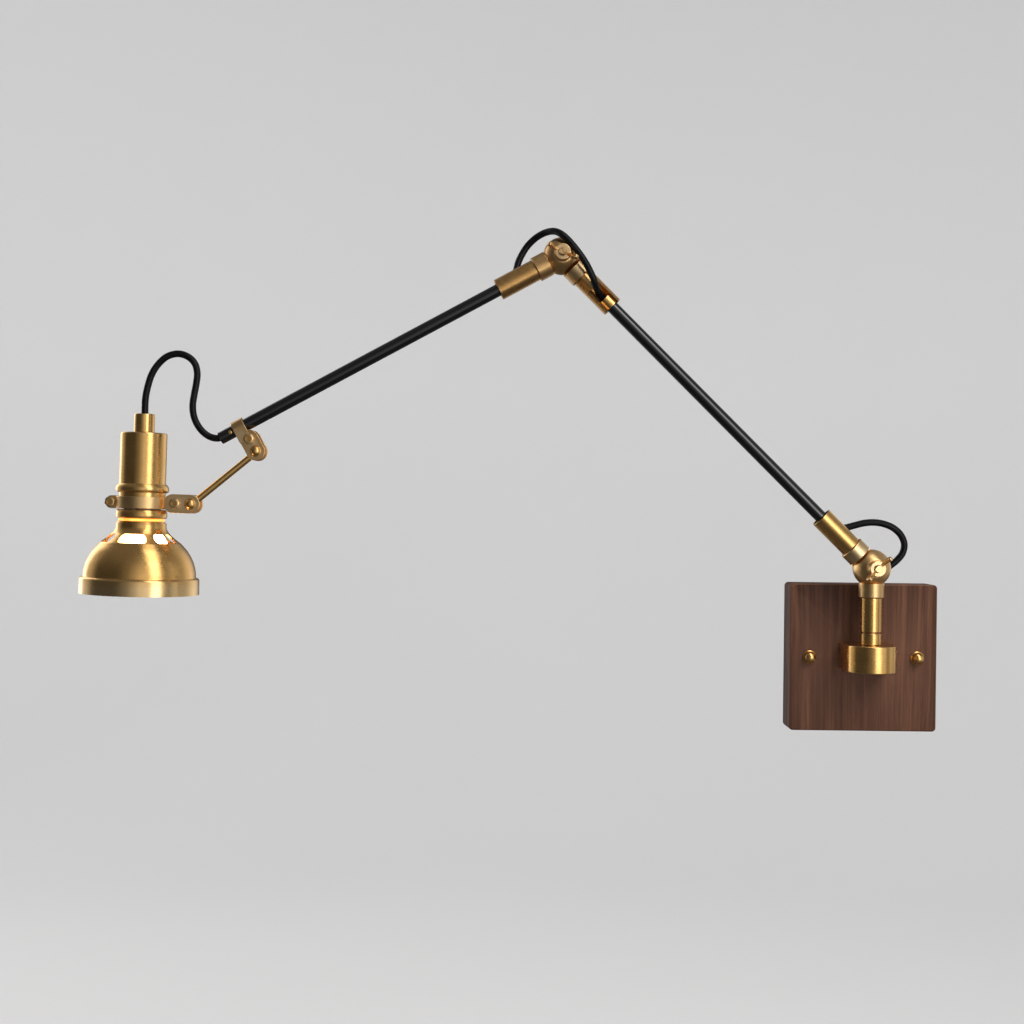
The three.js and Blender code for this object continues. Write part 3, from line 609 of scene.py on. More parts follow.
def flex():
    """The cable's smooth PVC: satin, with slight waviness from the extruder and a few scuffs."""
    material, tree, position = new_material(
        "pvc", Specular_IOR_Level=0.14, Coat_Weight=0.1, Coat_Roughness=0.14)
    waves = noise(tree, position, scale=260, detail=2)
    scuffs = noise(tree, position, scale=90, detail=5, roughness=0.7)
    scuffed = blend_colours(tree, remap(tree, scuffs, 0.45, 0.75, 0, 1), (0.002, 0.002, 0.0022),
                            (0.007, 0.007, 0.007))
    return surfaced(material, Base_Color=scuffed, Roughness=remap(tree, scuffs, 0.3, 0.7, 0.30, 0.46),
                    Normal=bump(tree, waves, 0.12, 0.0002))


def moulded(name, light, dark, roughness):
    """A moulded or glazed insulator with faint mottling and a fine texture."""
    material, tree, position = new_material(name, Specular_IOR_Level=0.5)
    mottle = noise(tree, position, scale=160, detail=4)
    fine = noise(tree, position, scale=1500, detail=2)
    return surfaced(material, Base_Color=blend_colours(tree, mottle, dark, light),
                    Roughness=remap(tree, mottle, 0.3, 0.7, roughness - 0.06, roughness + 0.08),
                    Normal=bump(tree, fine, 0.06, 0.0001))


def silicone_with_painted_glow():
    """The amber gasket, with a painted glow: an orange emission stands in for the lamp's light showing
    through it.
    """
    material, tree, position = new_material("silicone", Emission_Strength=1.6, Specular_IOR_Level=0.4)
    mottle = noise(tree, position, scale=90, detail=3)
    # painted glow: this emission colour paints the bulb's light onto the gasket, which is no lamp
    glow = blend_colours(tree, remap(tree, mottle, 0.35, 0.65, 0, 1), (1.0, 0.30, 0.035), (1.0, 0.50, 0.10))
    amber = blend_colours(tree, mottle, (0.80, 0.34, 0.06), (0.90, 0.44, 0.10))
    return surfaced(material, Base_Color=amber, Emission_Color=glow,
                    Roughness=remap(tree, mottle, 0.3, 0.7, 0.42, 0.58),
                    Normal=bump(tree, mottle, 0.05, 0.0001))


def lit_glass():
    """The lit, frosted bulb: paler towards its tip, warmer towards the neck."""
    material, tree, position = new_material("glass", Emission_Strength=16.0, IOR=1.46)
    height = node(tree, "SeparateXYZ", {0: position}).outputs[2]
    warm = remap(tree, height, -0.063, -0.012, 0, 1)
    frost = noise(tree, position, scale=700, detail=3)
    glow = blend_colours(tree, warm, (1.0, 0.72, 0.40), (1.0, 0.50, 0.18))
    pearl = blend_colours(tree, frost, (0.96, 0.90, 0.80), (0.90, 0.84, 0.74))
    return surfaced(material, Base_Color=pearl, Emission_Color=glow,
                    Roughness=remap(tree, frost, 0.3, 0.7, 0.28, 0.45),
                    Normal=bump(tree, frost, 0.05, 0.0001))


# The light and dark tones of each brushed metal, the tone of its rubbed edges, its roughness and anisotropy.
METALS = {
    "brass": ((0.88, 0.53, 0.18), (0.77, 0.43, 0.13), (0.95, 0.72, 0.40), 0.27, 0.6),
    "brass_satin": ((0.90, 0.60, 0.27), (0.81, 0.50, 0.20), (0.95, 0.76, 0.48), 0.38, 0.2),
    "bronze": ((0.76, 0.43, 0.155), (0.62, 0.33, 0.105), (0.88, 0.62, 0.33), 0.28, 0.5),
    "bronze_satin": ((0.80, 0.50, 0.21), (0.68, 0.39, 0.15), (0.90, 0.68, 0.40), 0.36, 0.2),
    "steel": ((0.60, 0.60, 0.60), (0.42, 0.42, 0.41), (0.75, 0.75, 0.74), 0.36, 0.2),
    "nickel": ((0.66, 0.64, 0.60), (0.50, 0.48, 0.45), (0.80, 0.79, 0.76), 0.26, 0.3),
}
FINISH = {
    **{name: brushed(name, *look) for name, look in METALS.items()},
    "walnut": walnut(),
    "black_paint": enamel(),
    "pvc": flex(),
    "plastic": moulded("plastic", (0.80, 0.78, 0.72), (0.70, 0.68, 0.62), 0.45),
    "porcelain": moulded("porcelain", (0.84, 0.82, 0.77), (0.76, 0.73, 0.67), 0.2),
    "silicone": silicone_with_painted_glow(),
    "glass": lit_glass(),
}


# ---------------- pieces

SHARP_FROM = math.radians(34)


def finished(name, mesh, where, finish):
    """An object with smooth faces, sharp only at real edges."""
    mesh.name = name
    mesh.shade_smooth()
    mesh.set_sharp_from_angle(angle=SHARP_FROM)
    mesh.materials.clear()
    mesh.materials.append(FINISH[finish])
    piece = add(name, mesh)
    piece.matrix_world = where
    return piece


def stands_for(cad_node, mesh, where, finish):
    """A piece that rides on its CAD node's body and replaces that node."""
    piece = finished(f"fine_{cad_node}", mesh, where, finish)
    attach(piece, BODY_OF[cad_node])
    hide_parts(cad_node)


# ---------------- free cables

def free_cable(cad_node, route):
    """A cable between two bodies, swept once along its route and fixed in place."""
    path = through(route, 8)
    piece = finished(f"fine_{cad_node}", swept(path, CABLE * MM), Matrix.Identity(4), "pvc")
    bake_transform(piece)
    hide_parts(cad_node)


free_cable("shoulder_loop", SHOULDER_LOOP)
free_cable("elbow_loop", ELBOW_LOOP)
free_cable("head_lead_upper", HEAD_LEAD_UPPER)
free_cable("head_lead_lower", HEAD_LEAD_LOWER)


# ---------------- wall plate and its fixing

def wall_plate():
    body = prism(rectangle(PLATE_SIDE, PLATE_SIDE, 3.2), 0, PLATE_DEPTH, edge=1.1, steps=5, guard=0.3)
    pocket = prism(rectangle(104, 100, 5), -5, POCKET_DEPTH, edge=0.6)
    studs = [moved(drill(STUD_RADIUS + 0.4), x) for x in (-STUD_X, STUD_X)]
    return cut(body, pocket, *studs, moved(drill(5.4), 0, NIPPLE_Z))


def mounting_strap():
    body = prism(rectangle(100, 16, 2.4), 0, 2.5, edge=0.35)
    slots = [prism([(x + side * 26, y) for x, y in bar(-3.7, 3.7, 2.3)], -2, 5) for side in (-1, 1)]
    taps = [moved(drill(STUD_RADIUS + 0.25), x) for x in (-STUD_X, STUD_X)]
    return cut(body, *slots, *taps)


def stud():
    ends = 32.8
    return turned([(0, 0.4), (1.5, 0.4), *threads(STUD_RADIUS, 0.9, ends - 0.5), (1.4, ends), (0, ends)], 24)


def cap_nut():
    """A domed nut on a thin flange."""
    seat, bore, flange, side = PLATE_DEPTH + GAP, STUD_RADIUS + GAP, 5.6, 4.75
    dome = arc(0, seat + 3.1, 4.7, 18, 80, 9)
    dome = [(x, seat + 3.1 + (y - seat - 3.1) * 0.9) for x, y in dome]
    outside = rounded([(bore, seat), (flange, seat), (flange, seat + 0.9), (side, seat + 1.3),
                       (side, seat + 2.6)], 0.3, closed=False)
    inside = [(0, seat + 5), (bore, seat + 4.6)]
    return turned(inside + outside + dome + [(0, seat + 7.33)], 64)


def terminal_block():
    body = prism(rectangle(24, 12, 1.2), 5, 15, edge=0.5)
    holes = [moved(to_y(drill(1.9)), x, 0, 10) for x in TERMINALS]
    ribs = [box(0.8, 20, 2, x, 0, 5) for x in (-3.5, 3.5)]
    wells = [moved(drill(2.4, -5, 1.2), x, 0, 5) for x in TERMINALS]
    return moved(cut(body, *holes, *ribs, *wells), 0, TERMINAL_Y)


def terminal_screw():
    head = turned(solid_profile([(0, 5.6), (2.1, 5.6), (2.1, 6.1), (0, 6.1)], 0.2), 32)
    return moved(cut(head, box(5, 0.6, 0.6, 0, 0, 5.6)), 0, TERMINAL_Y)


stands_for("wall_plate", wall_plate(), WALL, "walnut")
stands_for("mounting_strap", mounting_strap(), WALL, "steel")
for side, x in (("left", -STUD_X), ("right", STUD_X)):
    stands_for(f"mounting_stud_{side}", stud(), facing((x, 0, 0)), "steel")
    stands_for(f"cap_nut_{side}", cap_nut(), facing((x, 0, 0)), "brass")
stands_for("terminal_block", terminal_block(), WALL, "plastic")
for number, x in enumerate(TERMINALS, 1):
    screw = finished(f"terminal_screw_{number}", terminal_screw(), facing((x, 0, 0)), "steel")
    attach(screw, "wall_mount")
stands_for("supply_lead", swept(through(SUPPLY_LEAD, 6), CORE * MM, 16), Matrix.Identity(4), "pvc")


# ---------------- drum, collar and swivel

DRUM, DRUM_WALL, DRUM_LOW, DRUM_TOP, DRUM_ROOF = 20, 3.4, -9, 12.6, 8.6
NUT_SEAT = 34.7
WIRE_BORE = 3.4
SPIGOT, COLLAR_TOP, POST_LOW = 5, 22, 23.2


def drum_plan(radius, back):
    """Half a circle in front, and straight sides that run back towards the plate."""
    return arc(0, 0, radius, 180, 360, 72) + [(radius, back), (-radius, back)]


def drum():
    back = -PLATE_DEPTH - GAP - ARM_Y
    body = prism(drum_plan(DRUM, back + 5), DRUM_LOW, DRUM_TOP, edge=0.8, steps=5)
    room = prism(drum_plan(DRUM - DRUM_WALL, -NUT_SEAT - ARM_Y), DRUM_LOW - 5, DRUM_ROOF, edge=0.6)
    nipple_hole = moved(to_y(drill(5.3, 10, 40)), 0, 0, NIPPLE_Z)
    return cut(body, room, box(80, 20, 80, 0, back + 10), drill(SPIGOT + GAP, 0, 20), nipple_hole)


def drum_cover():
    """A plug that closes the drum from below, with a shallow recess."""
    low, radius, back = DRUM_LOW + GAP, DRUM - DRUM_WALL - GAP, -NUT_SEAT - ARM_Y - GAP
    recess = prism(drum_plan(radius - 3, back - 3), low - 2, low + 0.8, edge=0.2)
    return cut(prism(drum_plan(radius, back), low, low + 2.6, edge=0.4), recess)


def nipple():
    """A threaded tube with a flange inside the plate. Its local Z points to the front."""
    seat, foot, end = POCKET_DEPTH - GAP, POCKET_DEPTH - 3, 38.6
    thread = threads(5, seat, end - 0.4, 1.0, 0.35)
    return turned([(WIRE_BORE, foot), (7.6, foot), (8, foot + 0.4), (8, seat), *thread, (4.4, end),
                   (WIRE_BORE, end), (WIRE_BORE, foot)], 48)


def hexagon_nut(across_flats, bore, low, high):
    """A hexagon nut with its corners chamfered on both faces."""
    body = prism(hexagon(across_flats), low, high, edge=0.1, guard=0.05)
    corner = across_flats / math.sqrt(3)
    chamfer = [(0, low), (across_flats / 2 - 0.1, low), (corner + 0.2, low + 0.9), (corner + 0.2, high - 0.9),
               (across_flats / 2 - 0.1, high), (0, high)]
    return cut(common(body, turned(chamfer, 72)), drill(bore, low - 5, high + 5))


def spigot():
    low, high = 3.5, 31
    return turned(ring_profile([(WIRE_BORE, low), (SPIGOT, low), (SPIGOT, POST_LOW), (STEM, POST_LOW),
                                (STEM, high), (WIRE_BORE, high)], 0.3), 64)


stands_for("drum", drum(), HUB, "brass")
stands_for("drum_cover", drum_cover(), HUB, "brass")
stands_for("wall_nipple", nipple(), facing((0, 0, NIPPLE_Z)), "steel")
stands_for("nipple_nut", turn(hexagon_nut(13, 5.3, 35, 38.2), 30, "Z"), facing((0, 0, NIPPLE_Z)), "steel")
stands_for("post_collar", pipe(SLEEVE, SPIGOT + GAP, DRUM_TOP + GAP, COLLAR_TOP, 0.35), HUB, "brass")
stands_for("swivel_washer", pipe(7.9, SPIGOT + GAP, COLLAR_TOP + GAP, POST_LOW - GAP, 0.15), HUB, "bronze")
stands_for("swivel_spigot", spigot(), HUB, "steel")
stands_for("spigot_nut", hexagon_nut(14, SPIGOT + GAP, 4.2, DRUM_ROOF - GAP), HUB, "steel")


# ---------------- ball knuckles

def knuckle(front, stem_end):
    """Half of a ball with its neck and stem. The stem is along local Z and the bolt along local Y."""
    split = 0.15
    rim = math.degrees(math.asin(FACE / BALL))
    bore = BOLT + GAP
    half = [(bore, split), (BALL - 0.6, split)] + arc(0, 0, BALL, 1.6, rim - 1.5, 30)
    face = math.sqrt(BALL ** 2 - FACE ** 2)
    half += [(face - 0.12, FACE - 0.02), (face - 0.4, FACE), (bore, FACE), (bore, split)]
    ball = turned(half, 128)
    neck = turned(solid_profile([
        (0, 12), (NECK, 12, 0.6), (NECK, NECK_END, 0.6), (STEM, NECK_END, 0.2), (STEM, stem_end, 0.3),
        (0, stem_end)]), 96)
    cup = turned(arc(0, 0, CUP, -90, 90, 48), 128)
    other_side = box(60, 30, 60, 0, (-1 if front else 1) * (15 - split), 0)
    lay = to_y if front else to_minus_y
    return join(lay(ball), cut(neck, common(cup, other_side)))


def c_section(slot_degrees):
    """A sleeve's section with a slot that faces an angle round the arm from its front."""
    half = SLEEVE_SLOT / 2
    outer = math.degrees(math.asin(half / SLEEVE))
    inner = math.degrees(math.asin(half / SLEEVE_BORE))
    middle = 90 + slot_degrees
    outside = arc(0, 0, SLEEVE, middle + outer + 1.5, middle + 358.5 - outer, 72)
    inside = arc(0, 0, SLEEVE_BORE, middle + 358.5 - inner, middle + inner + 1.5, 60)
    return outside + inside


def sleeve(end, slot_degrees):
    return prism(c_section(slot_degrees), NECK_END + GAP, end, edge=0.25, guard=0.1)


def bush():
    return pipe(STEM, TUBE + GAP, TUBE_FROM - GAP, SLEEVE_END - GAP, 0.25)


def pinch_bolt():
    """A bolt along local Z, its slotted end in front and its hexagon head behind."""
    back, thread_from, tip = -FACE - GAP, 20.8, 24.5
    thread = threads(BOLT, thread_from + 0.1, tip - 0.5, 0.75, 0.3)
    shank = turned([(0, back - 0.2), (BOLT - 0.35, back - 0.2), (BOLT - 0.35, thread_from), *thread,
                    (BOLT - 0.45, tip), (0, tip)], 48)
    head = common(prism(hexagon(9), back - 4, back, edge=0.1),
                  turned([(0, back - 4), (4.2, back - 4), (5.4, back - 3.2), (5.4, back), (0, back)], 72))
    return cut(join(shank, head), box(8, 0.9, 2, 0, 0, tip))


def wing_nut():
    """A cast wing nut, its wings along local X and its seat on the ball's flat face."""
    seat = FACE + GAP
    hub = turned(solid_profile([(0, seat), (6.7, seat, 0.4), (6.5, seat + 7.6, 0.7), (0, seat + 7.6)]), 64)
    outline = through([
        (2.2, seat + 2.2), (5.6, seat + 2.4), (9.2, seat + 4.6), (11.9, 20.5), (13.3, 23.2), (13.1, 26.6),
        (12.2, 28.2), (10.9, 28.7), (9.6, 27.6), (8.4, 24.2), (6.0, seat + 8.6), (2.2, seat + 7.0)], 4)
    wing = turn(prism(outline, -1.4, 1.4, edge=0.75, steps=5, guard=0.06), 90, "X")
    return cut(join(hub, wing, turn(wing.copy(), 180, "Z")), drill(BOLT + GAP))


for name, finish in (("shoulder", "brass"), ("elbow", "bronze")):
    stands_for(f"{name}_bolt", pinch_bolt(), facing(PIVOT[name], WING_ANGLES[name] - 32), finish)
    stands_for(f"{name}_wing_nut", wing_nut(), facing(PIVOT[name], WING_ANGLES[name]), finish + "_satin")
stands_for("post_sleeve", sleeve(PIVOT["shoulder"].z - POST_LOW, SLOTS["post"]), POST, "brass")
stands_for("shoulder_front", knuckle(True, 30), POST, "brass_satin")
stands_for("post_lead", swept([Vector((0, ARM_Y, z)) * MM for z in (3.4, 30.8)], CORE * MM, 16),
           Matrix.Identity(4), "pvc")


# ---------------- arms

ARM_1_LENGTH = (PIVOT["elbow"] - PIVOT["shoulder"]).length
ARM_2_LENGTH = 310


def tube(length_from, length_to):
    return pipe(TUBE, TUBE_BORE, length_from, length_to, 0.25, 72)


def lead(length_from, length_to):
    return rod(CABLE, length_from, length_to, 0.3, 32)


def fit_sleeve(prefix, where, slot_degrees, finish, bush_finish):
    stands_for(f"{prefix}_sleeve", sleeve(SLEEVE_END, slot_degrees), where, finish)
    stands_for(f"{prefix}_bush", bush(), where, bush_finish)


fit_sleeve("arm_1_lower", ARM_1, SLOTS["lower"], "brass", "brass")
stands_for("shoulder_rear", knuckle(False, STEM_END), ARM_1, "brass_satin")
stands_for("arm_1_tube", tube(TUBE_FROM, ARM_1_LENGTH - TUBE_FROM), ARM_1, "black_paint")
stands_for("arm_1_lead", lead(LEAD_FROM, ARM_1_LENGTH - LEAD_FROM), ARM_1, "pvc")
stands_for("elbow_rear", knuckle(False, STEM_END), ARM_1_END, "bronze_satin")
fit_sleeve("arm_1_upper", ARM_1_END, SLOTS["elbow"], "bronze", "brass")
fit_sleeve("arm_2", ARM_2, SLOTS["upper"], "bronze", "bronze")
stands_for("elbow_front", knuckle(True, STEM_END), ARM_2, "bronze_satin")
stands_for("arm_2_lead", lead(LEAD_FROM, ARM_2_LENGTH - 6), ARM_2, "pvc")
pin_hole = moved(to_y(drill(STOP_PIN + 0.2, 0, 10)), 0, 0, STOP_PIN_AT)
stands_for("arm_2_tube", cut(tube(TUBE_FROM, ARM_2_LENGTH), pin_hole), ARM_2, "black_paint")
pin = turned(solid_profile([(0, 4.2), (STOP_PIN, 4.2, 0.2), (STOP_PIN, 5.5, 0.4), (0, 5.8)], 0.2), 32)
stands_for("stop_pin", pin, facing(on_arm(PIVOT["elbow"], ARM_2_ANGLE, STOP_PIN_AT)), "brass")


# ---------------- clamp and link

def hexagon_screw(face, tail):
    """A screw along local Z with a chamfered hexagon head in front of a plate's face."""
    low, high = face + GAP, face + 3.2
    head = common(prism(hexagon(7.5), low, high, edge=0.1, guard=0.05),
                  turned([(0, low), (4.6, low), (4.6, high - 0.75), (3.45, high), (0, high)], 72))
    dish = turned([(0, high + 2), (2.6, high + 2), (2.4, high - 0.25), (0, high - 0.35)], 48)
    thread = threads(2, 0.4 - tail, low - 1, 0.7, 0.25)
    shank = turned([(0, -tail), (1.6, -tail), *thread, (1.9, low + 0.5), (0, low + 0.5)], 32)
    return join(cut(head, dish), shank)


def rivet():
    """A rivet along local Z: a domed head on a small shoulder in front, a flat head behind."""
    face = PLATE_OUT + GAP
    middle, radius, flatter = face + 0.2, 3.3, 0.80
    dome = [(x * 1.17, middle + (y - middle) * flatter) for x, y in arc(0, middle, radius, 8, 84, 12)]
    foot = rounded([
        (0, -face - 1.6), (RIVET_HEAD, -face - 1.6, 0.6), (RIVET_HEAD, -face, 0.2), (RIVET, -face, 0.1),
        (RIVET, face, 0.1), (RIVET_HEAD, face, 0.2), (RIVET_HEAD, face + 0.5, 0.25), (4.05, face + 0.6, 0.1)],
        0.2, closed=False)
    return turned(foot + dome + [(0, middle + radius * flatter)], 64)


def clamp_strap():
    """A strap folded over the tube into two plates. Local Z is to the front and X to the rivet."""
    fold = [(CLAMP_SCREW, PLATE_OUT), *arc(0, 0, PLATE_OUT, 90, 270, 28), (CLAMP_SCREW, -PLATE_OUT),
            (CLAMP_SCREW, -PLATE_IN), *arc(0, 0, PLATE_IN, 270, 90, 28), (CLAMP_SCREW, PLATE_IN)]
    strap = turn(prism(fold, -5, 5, edge=0.35, guard=0.1), 90, "X")
    strap = moved(strap, 0, CLAMP_AT - STRAP_AT, 0)
    outline = bar(CLAMP_SCREW, CLAMP_PIVOT, PLATE_RADIUS)
    plates = [prism(outline, PLATE_IN + 0.05, PLATE_OUT - 0.05, 0.35),
              prism(outline, -PLATE_OUT + 0.05, -PLATE_IN - 0.05, 0.35)]
    holes = [moved(drill(SCREW_HOLE), CLAMP_SCREW), moved(drill(RIVET + GAP), CLAMP_PIVOT)]
    return cut(join(strap, *plates), *holes)


def link_rod():
    """A round rod with a flat-faced eye at each end, its length along local Z."""
    length = (PIVOT["head_tilt"] - PIVOT["link_swing"]).length
    half = PLATE_IN - GAP
    eyes = [moved(to_y(rod(6, -half, half, 0.5, 72)), 0, 0, z) for z in (0, length)]
    holes = [moved(to_y(drill(RIVET + GAP)), 0, 0, z) for z in (0, length)]
    return cut(join(rod(2.7, 3, length - 3, 0.2, 64), *eyes), *holes)


CLAMP = facing(on_arm(PIVOT["elbow"], ARM_2_ANGLE, CLAMP_AT), ARM_2_ANGLE + 90)
stands_for("clamp_strap", clamp_strap(), CLAMP, "bronze_satin")
stands_for("clamp_screw", hexagon_screw(PLATE_OUT, SCREW_TAIL),
           facing(on_arm(PIVOT["elbow"], ARM_2_ANGLE, CLAMP_AT, CLAMP_SCREW), 12), "brass")
stands_for("clamp_rivet", rivet(), facing(PIVOT["link_swing"]), "brass")
stands_for("link_rod", link_rod(), LINK, "brass")


# ---------------- head

BAND, BAND_BORE, BAND_HALF, BAND_SPLIT = 20.3, 18.5, 4.8, 0.6
EAR_SCREW, EAR_END, EAR_RADIUS, EAR_DEPTH = 24.5, 29, 5.2, 1.8
BAND_SCREW, BAND_END = 27.8, 47.5
COVER, COVER_TOP, COVER_LOW = 18.2, 55.8, -5
GRIP, GRIP_TOP = 8.1, 71
RING_BORE, RING_LOW, RING_TOP = 15.1, -12.6, -5.5
SHADE_WALL, SHADE_TOP, SHADE_LOW, RIM = 1.2, -14.9, -72.8, 45.8
VENT_WIDTH, VENT_HEIGHT, VENT_LOW = 46, 6.8, -31.8


def head_facing(x):
    """A point on the band's centre line, seen from the front."""
    return place(BAND_CENTRE + Vector(HEAD_RIGHT) * x, (0, -1, 0), HEAD_RIGHT)


def band_half(front):
    """Half of the band: a half ring with a small ear at its left and a long plate at its right."""
    split = math.degrees(math.asin(BAND_SPLIT / BAND_BORE))
    section = arc(0, 0, BAND, 180 + split, 360 - split, 64)
    section += arc(0, 0, BAND_BORE, 360 - split, 180 + split, 64)
    ring = prism(section, -BAND_HALF, BAND_HALF, edge=0.4, guard=0.1)
    ear = prism(bar(EAR_RADIUS - EAR_END, -19, EAR_RADIUS), BAND_SPLIT, BAND_SPLIT + EAR_DEPTH, edge=0.35)
    plate = prism(bar(26, BAND_END - PLATE_RADIUS, PLATE_RADIUS, 18), PLATE_IN, PLATE_OUT, edge=0.4)
    holes = [moved(drill(SCREW_HOLE), x) for x in (-EAR_SCREW, BAND_SCREW)]
    holes.append(moved(drill(RIVET + GAP), HEAD_OFFSET))
    body = join(ring, to_minus_y(ear), to_minus_y(plate))
    body = cut(body, drill(BAND_BORE - 0.02, sides=128), *[to_minus_y(hole) for hole in holes])
    return body if front else turn(body, 180, "X")


def cord_grip():
    foot, bore = COVER_TOP + GAP, CABLE + 0.6
    return turned(ring_profile([
        (bore, foot), (GRIP, foot, 0.3), (GRIP, GRIP_TOP, 0.8), (bore, GRIP_TOP, 0.5)]), 96)


def socket_cover():
    inner, hole, ceiling = COVER - 1.2, CABLE + 1, COVER_TOP - 1.6
    return turned(ring_profile([(inner, COVER_LOW), (COVER, COVER_LOW), (COVER, COVER_TOP, 1.1),
                                (hole, COVER_TOP, 0.3), (hole, ceiling, 0.3), (inner, ceiling, 0.8)]), 160)


def bead_ring():
    """A full bead, undercut below."""
    inner, low, high = COVER + GAP, 8, 14.9
    bead = through([(19.4, 8.15), (20.25, 8.7), (20.75, 9.9), (20.85, 11.2), (20.45, 12.7), (19.6, 14.1),
                    (19, 14.7)], 5)
    return turned([(inner, low), (19.1, low), *map(tuple, bead), (18.9, high), (inner, high), (inner, low)],
                  160)


def lampholder():
    outer, bore, flange, top, low = 14.8, 13.6, 16.4, 16, -18.4
    return turned(ring_profile([
        (bore, low), (flange, low, 0.5), (flange, low + 1.6, 0.4), (outer, low + 1.6, 0.2), (outer, top, 0.6),
        (13, top + 4, 0.6), (5, top + 8, 0.4), (0.2, top + 8, 0.01), (0.2, top - 2, 0.01),
        (bore, top - 2, 0.6)]), 96)


def neck_ring():
    """A ring with a softly bulging side, between the band and the shade."""
    side = through([(18.9, -12.55), (19.55, -12.1), (19.95, -11.1), (20.1, -9.7), (19.75, -7.5), (19.2, -6.1),
                    (18.7, -5.6)], 5)
    return turned([(RING_BORE, RING_LOW), (18.7, RING_LOW), *map(tuple, side), (18.5, RING_TOP),
                   (RING_BORE, RING_TOP), (RING_BORE, RING_LOW)], 160)


def neck_gasket():
    return pipe(18, RING_BORE, SHADE_TOP + GAP, RING_LOW - GAP, 0.3, 128)


FLARE = [(18.75, SHADE_TOP), (18.4, -17.6), (18.75, -20.9), (20.9, -24.7), (25.4, -28.8), (30.7, -33.0)]
DOME = [(31.1, -33.4), (36.4, -39.6), (40.6, -47.4), (42.6, -55), (42.9, -59.4)]


def vent():
    """A tool for one vent, centred on local +X: a rounded opening, wider towards the outside."""
    reference = 28
    width = 2 * reference * math.tan(math.radians(VENT_WIDTH / 2))
    slab = prism(rectangle(width, VENT_HEIGHT, 3), 12, 45, edge=0.01, guard=0.005)
    for point in slab.vertices:
        side, height, reach = point.co
        point.co = (reach, side * reach / (reference * MM), height)
    return moved(slab, 0, 0, VENT_LOW + VENT_HEIGHT / 2)


def shade():
    """Spun sheet: a neck that flares into vents, a dome, a step and a plain rim band."""
    crease = [tuple(p) for p in through(FLARE, 7)] + [tuple(p) for p in through(DOME, 7)]
    rim = rounded([DOME[-1], (43.2, -60.4, 0.5), (RIM - 0.2, -60.9, 1.1), (RIM, SHADE_LOW, 0.5)], 0.4,
                  closed=False)
    outside = crease + rim[1:]
    inside = [(radius, height) for radius, height in offset(outside, SHADE_WALL) if height < SHADE_TOP - 1.3]
    lip = rounded([(RING_BORE, SHADE_TOP - 1.6), (RING_BORE, SHADE_TOP), outside[0]], 0.3, closed=False)
    profile = lip[:-1] + outside + list(reversed(inside))
    body = turned(profile + profile[:1], 192)
    return cut(body, *[turn(vent(), 60 * k - 90, "Z") for k in range(6)])


def bulb_cap():
    """The screw cap: a rolled thread, a shoulder and the centre contact."""
    thread = []
    for middle in (3.4 - 3.6 * k for k in range(5)):
        thread += [(12.35, middle + 1.7), *arc(12.1, middle, 0.95, 60, -60, 8), (12.35, middle - 1.7)]
    return turned([(0, 12), (3.6, 12), (4.6, 11.2), (5, 10.4), (9.6, 8.4), (11.4, 6.4), *thread,
                   (12.1, -14), (0, -14)], 96)


def bulb_glass():
    glass, centre = 22.5, -40.5
    globe = arc(0, centre, glass, -90, 52, 40)
    neck = [tuple(p) for p in through([globe[-1], (12.6, -20.6), (12, -17), (11.6, -10)], 6)]
    return turned([(0, centre - glass)] + globe[1:] + neck[1:] + [(0, -10)], 96)


stands_for("band_front", band_half(True), HEAD, "brass_satin")
stands_for("band_rear", band_half(False), HEAD, "brass_satin")
left_screw = turn(hexagon_screw(BAND_SPLIT + EAR_DEPTH, 5), 20, "Z")
right_screw = turn(hexagon_screw(PLATE_OUT, SCREW_TAIL), 8, "Z")
stands_for("band_screw_left", left_screw, head_facing(-EAR_SCREW), "brass")
stands_for("band_screw_right", right_screw, head_facing(BAND_SCREW), "brass")
stands_for("band_rivet", rivet(), facing(PIVOT["head_tilt"]), "brass")
for cad_node, mesh, finish in (
        ("cord_grip", cord_grip(), "brass"),
        ("socket_cover", socket_cover(), "brass"),
        ("bead_ring", bead_ring(), "brass"),
        ("lampholder", lampholder(), "porcelain"),
        ("neck_ring", neck_ring(), "brass"),
        ("neck_gasket", neck_gasket(), "silicone"),
        ("shade", shade(), "brass"),
        ("bulb_cap", bulb_cap(), "nickel"),
        ("bulb_glass", bulb_glass(), "glass")):
    stands_for(cad_node, mesh, HEAD, finish)


# ---------------- stage and light

def pale(name, value):
    """A matt, faintly mottled studio surface."""
    material, tree, position = new_material(
        name, Roughness=0.9, Specular_IOR_Level=0.1, Emission_Strength=0.24)
    mottle = noise(tree, position, scale=2.2, detail=3)
    return surfaced(material, Base_Color=blend_colours(tree, mottle, [value * 0.97] * 3, [value] * 3))


def make_stage():
    """A round floor that curves up into a pale wall all the way round."""
    floor, radius, curve, top, sides = -0.75, 3.6, 1.3, 3.2, 96
    profile = [(0.001, floor), (radius - curve, floor)]
    profile += arc(radius - curve, floor + curve, curve, -90, 0, 24)[1:]
    profile += [(radius, top)]
    angles = [2 * math.pi * k / sides for k in range(sides)]
    points = [(r * math.cos(a), r * math.sin(a), z) for r, z in profile for a in angles]
    rings = [range(i * sides, (i + 1) * sides) for i in range(len(profile))]
    mesh = bpy.data.meshes.new("studio")
    mesh.from_pydata(points, [], bridge(rings))
    mesh.shade_smooth()
    mesh.materials.append(pale("studio_paper", 0.6))
    stage = add("studio", mesh)
    stage.location = (-0.29, -0.05, 0)
    stage.visible_glossy = False


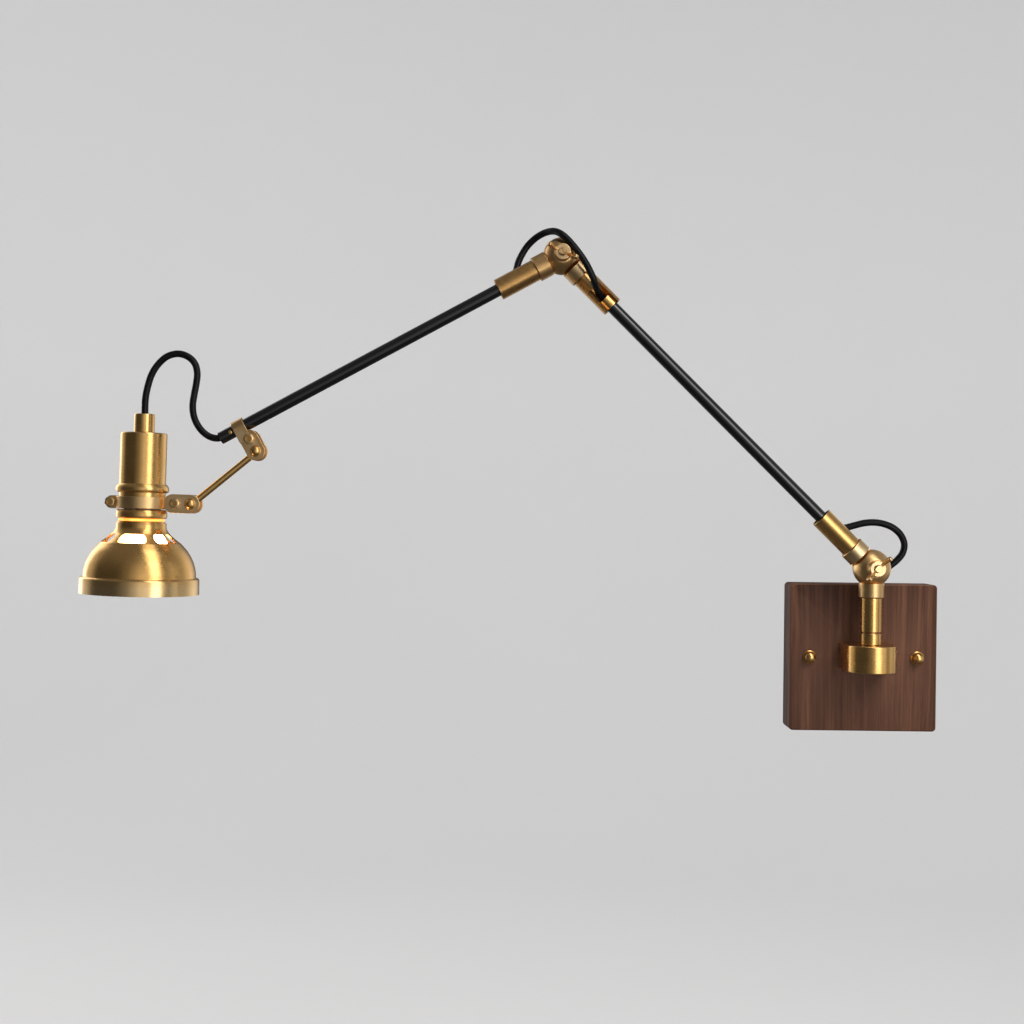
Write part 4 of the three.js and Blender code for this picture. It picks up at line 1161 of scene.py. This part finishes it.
def softbox(name, azimuth, elevation, distance, width, height, power, mirrored=True):
    """A rectangular light that faces the middle of the arms. Azimuth 0 is the front, 90 the right. It shows
    in the metal only if mirrored."""
    data = bpy.data.lights.new(name, "AREA")
    data.shape = "RECTANGLE"
    data.size, data.size_y = width, height
    data.energy = power
    data.color = (1, 0.985, 0.96)
    lamp = add(name, data)
    a, e = math.radians(azimuth), math.radians(elevation)
    away = Vector((math.sin(a) * math.cos(e), -math.cos(a) * math.cos(e), math.sin(e)))
    lamp.location = Vector((-0.29, -0.05, 0.15)) + away * distance
    lamp.rotation_euler = away.to_track_quat("Z", "Y").to_euler()
    lamp.visible_camera = False
    lamp.visible_glossy = mirrored


# The room's brightness round the horizon. Azimuth 0 is the front, 0.5 the right, and 1 or -1 behind.
BRIGHTNESS = [
    (-0.76, 1.10), (-0.60, 0.50), (-0.46, 0.06), (-0.18, 0.06), (-0.06, 0.18), (0.02, 0.42), (0.10, 0.78),
    (0.30, 0.72), (0.38, 0.22), (0.50, 0.62), (0.60, 0.38), (0.80, 0.90),
]


def make_world():
    """What the metal reflects beyond the lights: a room that is dark at the left and straight behind."""
    world = bpy.data.worlds.new("studio")
    bpy.context.scene.world = world
    world.use_nodes = True
    tree = world.node_tree
    direction = node(tree, "TexCoord").outputs["Generated"]
    split = node(tree, "SeparateXYZ", {0: direction})
    front = maths(tree, "MULTIPLY", split.outputs[1], -1.0)
    azimuth = maths(tree, "ARCTAN2", split.outputs[0], front)
    ramp = node(tree, "ValToRGB", {"Fac": remap(tree, azimuth, -math.pi, math.pi, 0, 1)})
    ramp.color_ramp.interpolation = "EASE"
    stops = ramp.color_ramp.elements
    stops[0].position, stops[0].color = 0.0, colour((0.10, 0.10, 0.10))
    stops[1].position, stops[1].color = 1.0, colour((0.10, 0.10, 0.10))
    for azimuth_share, value in BRIGHTNESS:
        stop = stops.new(0.5 + azimuth_share / 2)
        stop.color = colour((value, value, value))
    above = remap(tree, split.outputs[2], 0.25, 0.85, 0, 1)
    below = remap(tree, split.outputs[2], -0.2, -0.7, 0, 1)
    sky = blend_colours(tree, above, ramp.outputs["Color"], (0.16, 0.16, 0.165))
    ground = blend_colours(tree, below, sky, (0.08, 0.078, 0.075))
    tree.links.new(ground, tree.nodes["Background"].inputs["Color"])
    tree.nodes["Background"].inputs["Strength"].default_value = 1.0


make_stage()
make_world()
softbox("key", 35, 14, 1.05, 0.42, 1.2, 3.5)
softbox("arch", 36, 60, 1.25, 0.5, 1.2, 4.6)
softbox("fill", -128, 16, 2.4, 0.9, 2.2, 8)
softbox("wash", 42, 36, 1.8, 0.8, 0.8, 19, mirrored=False)
softbox("ceiling", 0, 86, 2.2, 2.4, 2.0, 16, mirrored=False)

bpy.context.scene.view_settings.view_transform = "Standard"
